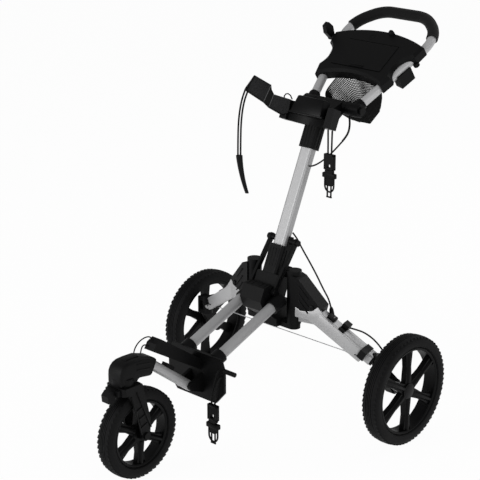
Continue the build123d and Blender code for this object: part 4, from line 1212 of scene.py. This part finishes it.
@dataclass
class Castings:
    """Ribs and bosses of the black castings, on the bodies that carry them."""

    cart: Cart
    mast_back: float = 24.0
    foot_depth: float = 36.0
    foot_width: float = 50.0
    casing_front: float = 23.0
    leg_front: float = 12.6
    elbow_half: float = 25.0
    elbow_outline: tuple[Point, ...] = (
        (74.0, 4.0), (94.0, 41.0), (84.0, 48.0), (49.0, 59.0), (20.0, 60.0), (0.0, 59.0), (-12.0, 55.0),
        (-21.0, 47.0), (-26.0, 37.0), (-27.0, 26.0), (-27.0, 0.2), (24.0, 0.2), (34.0, 10.0))
    leg_root: tuple[Point, ...] = (
        (14.0, 307.0), (50.0, 306.0), (78.0, 290.5), (96.0, 279.5), (113.0, 309.0), (96.0, 326.0),
        (80.0, 346.0), (64.0, 332.0), (46.0, 328.0), (30.0, 327.0), (14.0, 336.0))
    leg_run: tuple[Point, ...] = ((76.0, 292.0), (196.0, 218.0), (212.0, 246.0), (84.0, 328.0))

    def sleeve_ribs(self) -> None:
        """Upright ribs on the mast's foot and collar."""
        front = self.mast_back - self.foot_depth / 2
        flank = self.foot_width / 2 - 0.4
        ribs = []
        for low, high in ((62.0, 112.0), (386.0, 440.0)):
            middle = (low + high) / 2
            rib = block("sleeve_rib", (3.0, 3.0, high - low), 1.0)
            places = [shift(x, front + 0.4, middle) for x in (-15.0, -5.0, 5.0, 15.0)]
            for x in (-flank, flank):
                places += [shift(x, self.mast_back + y, middle) for y in (-8.0, 2.0)]
            ribs.append(copies(rib, places))
        self.cart.add(seat(joined("sleeve_ribs", ribs), self.cart.mast()), BLACK, "mast")

    def leg_ribs(self, side: str) -> None:
        """Raised ribs and a bolt boss on both faces of a leg casing."""
        face = self.casing_front
        rib = block("leg_rib", (42.0, 3.0, 4.0), 1.0)
        places = []
        for y in (-face - 0.4, face + 0.4):
            places += [shift(38.0, y, 376.0 - drop) @ turn("Y", 47.0) for drop in (0.0, 20.0, 38.0)]
        boss = turned("boss", [(0.0, 0.0), (0.0, 7.0), (2.4, 7.0), (3.4, 5.6), (3.6, 0.0)], 24)
        spots = [shift(62.0, sign * face, 340.0) @ turn("Z", sign * 90.0) for sign in (-1.0, 1.0)]
        piece = joined(side + "_leg_ribs", [copies(rib, places), copies(boss, spots)])
        self.cart.add(seat(piece, self.cart.leg(side)), BLACK, side + "_rear_leg")

    def leg_face(self, side: str) -> None:
        """Silver face of a leg, which passes in front of its casing."""
        upright = turn("X", 90.0)
        upper = seat(plate("upper", self.leg_root, 5.0, 2.2), shift(0.0, -18.6, 0.0) @ upright)
        lower = seat(plate("lower", self.leg_run, 11.4, 2.0), shift(0.0, -self.leg_front, 0.0) @ upright)
        face = seat(joined(side + "_leg_face", [upper, lower]), self.cart.leg(side))
        self.cart.add(face, silver(side + "_leg", self.cart.leg_lean), side + "_rear_leg")

    def saddle_pad(self) -> None:
        """Smooth pad in the middle of the saddle."""
        pad = block("saddle_pad", (104.0, 40.0, 46.0), 4.0, (0.84, 0.72))
        pad = seat(pad, shift(0.0, -11.0, 484.0))
        lip = seat(block("saddle_lip", (112.0, 34.0, 5.0), 1.6), shift(0.0, -12.0, 461.0))
        self.cart.add(seat(joined("saddle_pad", [pad, lip]), self.cart.mast()), SATIN, "mast")

    def hub_ribs(self) -> None:
        """Ribs on the hub's front."""
        rib = block("hub_rib", (4.0, 22.0, 4.0), 1.2)
        places = [shift(x, -22.0, 8.6) @ turn("X", 33.0) for x in (-27.0, -13.5, 13.5, 27.0)]
        self.cart.add(seat(copies(rib, places), self.cart.mast()), BLACK, "chassis")

    def elbow_shell(self) -> None:
        """Rounded elbow with a raised panel on top, ribs on its sides and a collar round its foot."""
        half = self.elbow_half
        upright = turn("Z", 90.0) @ turn("X", 90.0)
        shell = plate("elbow_shell", self.elbow_outline, 2 * half, 7.0, 4)
        shell = seat(shell, shift(-half, 0.0, 0.0) @ upright)
        panel = seat(block("panel", (18.0, 42.0, 3.0), 1.2), shift(0.0, 24.0, 60.0))
        rib = block("rib", (3.0, 44.0, 4.0), 1.0)
        places = []
        for side in (-half, half):
            places += [shift(side, 46.0, height) @ turn("X", -10.0) for height in (30.0, 44.0)]
        section = [(0.0, 0.0), (0.0, 28.0), (3.0, 28.6), (15.0, 28.6), (18.0, 28.0), (18.0, 0.0)]
        collar = seat(turned("collar", section, 48), turn("Y", -90.0))
        piece = joined("elbow_shell", [shell, panel, copies(rib, places), collar])
        swivel = Matrix.Translation(self.cart.joint("front_swivel"))
        self.cart.add(seat(piece, swivel), BLACK, "front_arm", "elbow")

    def fork_ribs(self) -> None:
        """Frame ribs and cross bars on the outside of each fork blade."""
        wheel = self.cart.joint("front_wheel_spin")
        swivel = self.cart.joint("front_swivel")
        top = Vector((0.0, swivel.y + 6.0 * MM, swivel.z - 22.0 * MM))
        foot = Vector((0.0, wheel.y, wheel.z + 14.0 * MM))
        run = foot - top
        length = run.length / MM
        lean = turn("X", math.degrees(math.atan2(run.y, -run.z)))
        rail = block("fork_rail", (3.0, 4.0, length), 1.0)
        bar = block("fork_bar", (2.0, 22.0, 3.4), 0.8)
        rails = []
        bars = []
        for x in (-34.0, 34.0):
            middle = Matrix.Translation((top + foot) / 2) @ shift(x, 0.0, 0.0) @ lean
            for spread, swing in ((-13.0, -3.5), (13.0, 3.5)):
                rails.append(middle @ shift(0.0, spread, 0.0) @ turn("X", swing))
            bars += [middle @ shift(0.0, 0.0, step * length) for step in (-0.34, -0.12, 0.1)]
        pieces = [copies(rail, rails), copies(bar, bars)]
        self.cart.add(joined("fork_ribs", pieces), BLACK, "front_fork")

    def build(self) -> None:
        """Model the ribs and dress the nodes of the frame."""
        self.sleeve_ribs()
        for side in SIDES:
            self.leg_ribs(side)
        for side in SIDES:
            self.leg_face(side)
        self.saddle_pad()
        self.hub_ribs()
        self.elbow_shell()
        self.fork_ribs()
        self.cart.paint(
            BLACK, "hub", "lower_bracket", "cradle_plate", "latch_block", "mast_foot", "mast_braces",
            "brace_bolts", "bracket_head", "fork", "front_axle", "arm_catch", "fork_lock", "frame_pins",
            "handle_pin", "lower_hook", "hook_buckle")
        self.cart.paint(SATIN, "bag_saddle")
        for side in SIDES:
            self.cart.paint(BLACK, side + "_leg_casing", side + "_leg_fittings", side + "_knuckle")
            self.cart.paint(STEEL, side + "_axle", side + "_knuckle_pin")
            self.cart.paint(silver(side + "_leg", self.cart.leg_lean), side + "_leg")
        self.cart.paint(silver("mast", self.cart.mast_lean), "mast_tube")
        self.cart.paint(silver("rails", self.cart.rail_slope), "rails")
        self.cart.paint(silver("arm", self.cart.arm_rise), "arm_tube")


@dataclass
class Studio:
    """Pale floor, soft light and the camera at the photograph's angle."""

    azimuth: float = 43.6
    elevation: float = 18.6
    distance: float = 3.9456
    target: Point = (0.0, -0.0918, 0.5208)
    lens: float = 117.75
    sensor: float = 36.0
    floor_size: float = 30.0
    floor_glow: float = 0.965
    surround: float = 0.36
    lamps: tuple[tuple[str, Point, float, float], ...] = (
        ("key_light", (-1.2, -3.8, 1.6), 2.4, 100.0), ("fill_light", (3.4, -1.4, 1.4), 2.4, 34.0),
        ("rim_light", (0.6, 3.0, 2.6), 2.0, 30.0))

    def camera(self) -> None:
        """Camera that looks at the cart as the photograph does."""
        swing = math.radians(self.azimuth)
        rise = math.radians(self.elevation)
        away = Vector((math.sin(swing) * math.cos(rise), -math.cos(swing) * math.cos(rise), math.sin(rise)))
        data = bpy.data.cameras.new("photo_camera")
        data.lens = self.lens
        data.sensor_width = self.sensor
        camera = bpy.data.objects.new("photo_camera", data)
        camera.location = Vector(self.target) + away * self.distance
        camera.rotation_euler = away.to_track_quat("Z", "Y").to_euler()
        bpy.context.scene.collection.objects.link(camera)
        bpy.context.scene.camera = camera

    def floor(self) -> None:
        """Wide white floor that keeps a faint shadow."""
        clear_selection()
        bpy.ops.mesh.primitive_plane_add(size=self.floor_size)
        floor = bpy.context.object
        floor.name = "studio_floor"
        material = bpy.data.materials.new("studio_white")
        material.use_nodes = True
        tree = material.node_tree
        matt = tree.nodes["Principled BSDF"]
        feed(tree, matt, {"Base Color": (0.9, 0.9, 0.9, 1.0), "Roughness": 0.9})
        glow = add_node(tree, "Emission", {"Color": WHITE})
        rays = add_node(tree, "LightPath", {}).outputs
        seen = add_node(
            tree, "Math", {0: rays["Is Camera Ray"], 1: rays["Is Glossy Ray"]}, operation="MAXIMUM")
        share = add_node(tree, "Math", {0: seen.outputs["Value"], 1: self.floor_glow}, operation="MULTIPLY")
        mix = add_node(tree, "MixShader", {
            "Fac": share.outputs["Value"], 1: matt.outputs["BSDF"], 2: glow.outputs["Emission"]})
        feed(tree, tree.nodes["Material Output"], {"Surface": mix.outputs["Shader"]})
        floor.data.materials.append(material)

    def world(self) -> None:
        """Even white surround, brighter to the camera than to the light."""
        world = bpy.data.worlds.new("studio_surround")
        bpy.context.scene.world = world
        world.use_nodes = True
        tree = world.node_tree
        light = tree.nodes["Background"]
        feed(tree, light, {"Color": WHITE, "Strength": self.surround})
        shown = add_node(tree, "Background", {"Color": WHITE, "Strength": 1.0})
        rays = add_node(tree, "LightPath", {}).outputs
        mix = add_node(tree, "MixShader", {
            "Fac": rays["Is Camera Ray"], 1: light.outputs["Background"], 2: shown.outputs["Background"]})
        feed(tree, tree.nodes["World Output"], {"Surface": mix.outputs["Shader"]})

    def lamp(self, name: str, place: Point, size: float, power: float) -> None:
        """Soft square lamp aimed at the cart's middle.

        Args:
            name: the lamp's name.
            place: where it stands, in metres.
            size: its side, in metres.
            power: its power in watts.
        """
        data = bpy.data.lights.new(name, "AREA")
        data.size = size
        data.energy = power
        lamp = bpy.data.objects.new(name, data)
        lamp.location = place
        lamp.rotation_euler = (Vector(place) - Vector(self.target)).to_track_quat("Z", "Y").to_euler()
        bpy.context.scene.collection.objects.link(lamp)

    def build(self) -> None:
        """Set the whole studio up."""
        bpy.context.scene.view_settings.view_transform = "Standard"
        self.camera()
        self.floor()
        self.world()
        for name, place, size, power in self.lamps:
            self.lamp(name, place, size, power)


def main() -> None:
    """Load the frame, build each sub-assembly in order and report the pieces."""
    logging.basicConfig(level=logging.INFO)
    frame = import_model()
    cart = Cart(frame)
    Studio().build()
    Cords(cart).build()
    for name, body, outside in (
        ("right", "right_rear_wheel", 1.0), ("left", "left_rear_wheel", -1.0), ("front", "front_wheel", 1.0),
    ):
        Wheel(cart, name, body, outside).build()
    Handle(cart).build()
    Strap(cart).build()
    Castings(cart).build()
    clear_selection()
    LOG.info("%d pieces", len(cart.pieces))


if __name__ == "__main__":
    main()
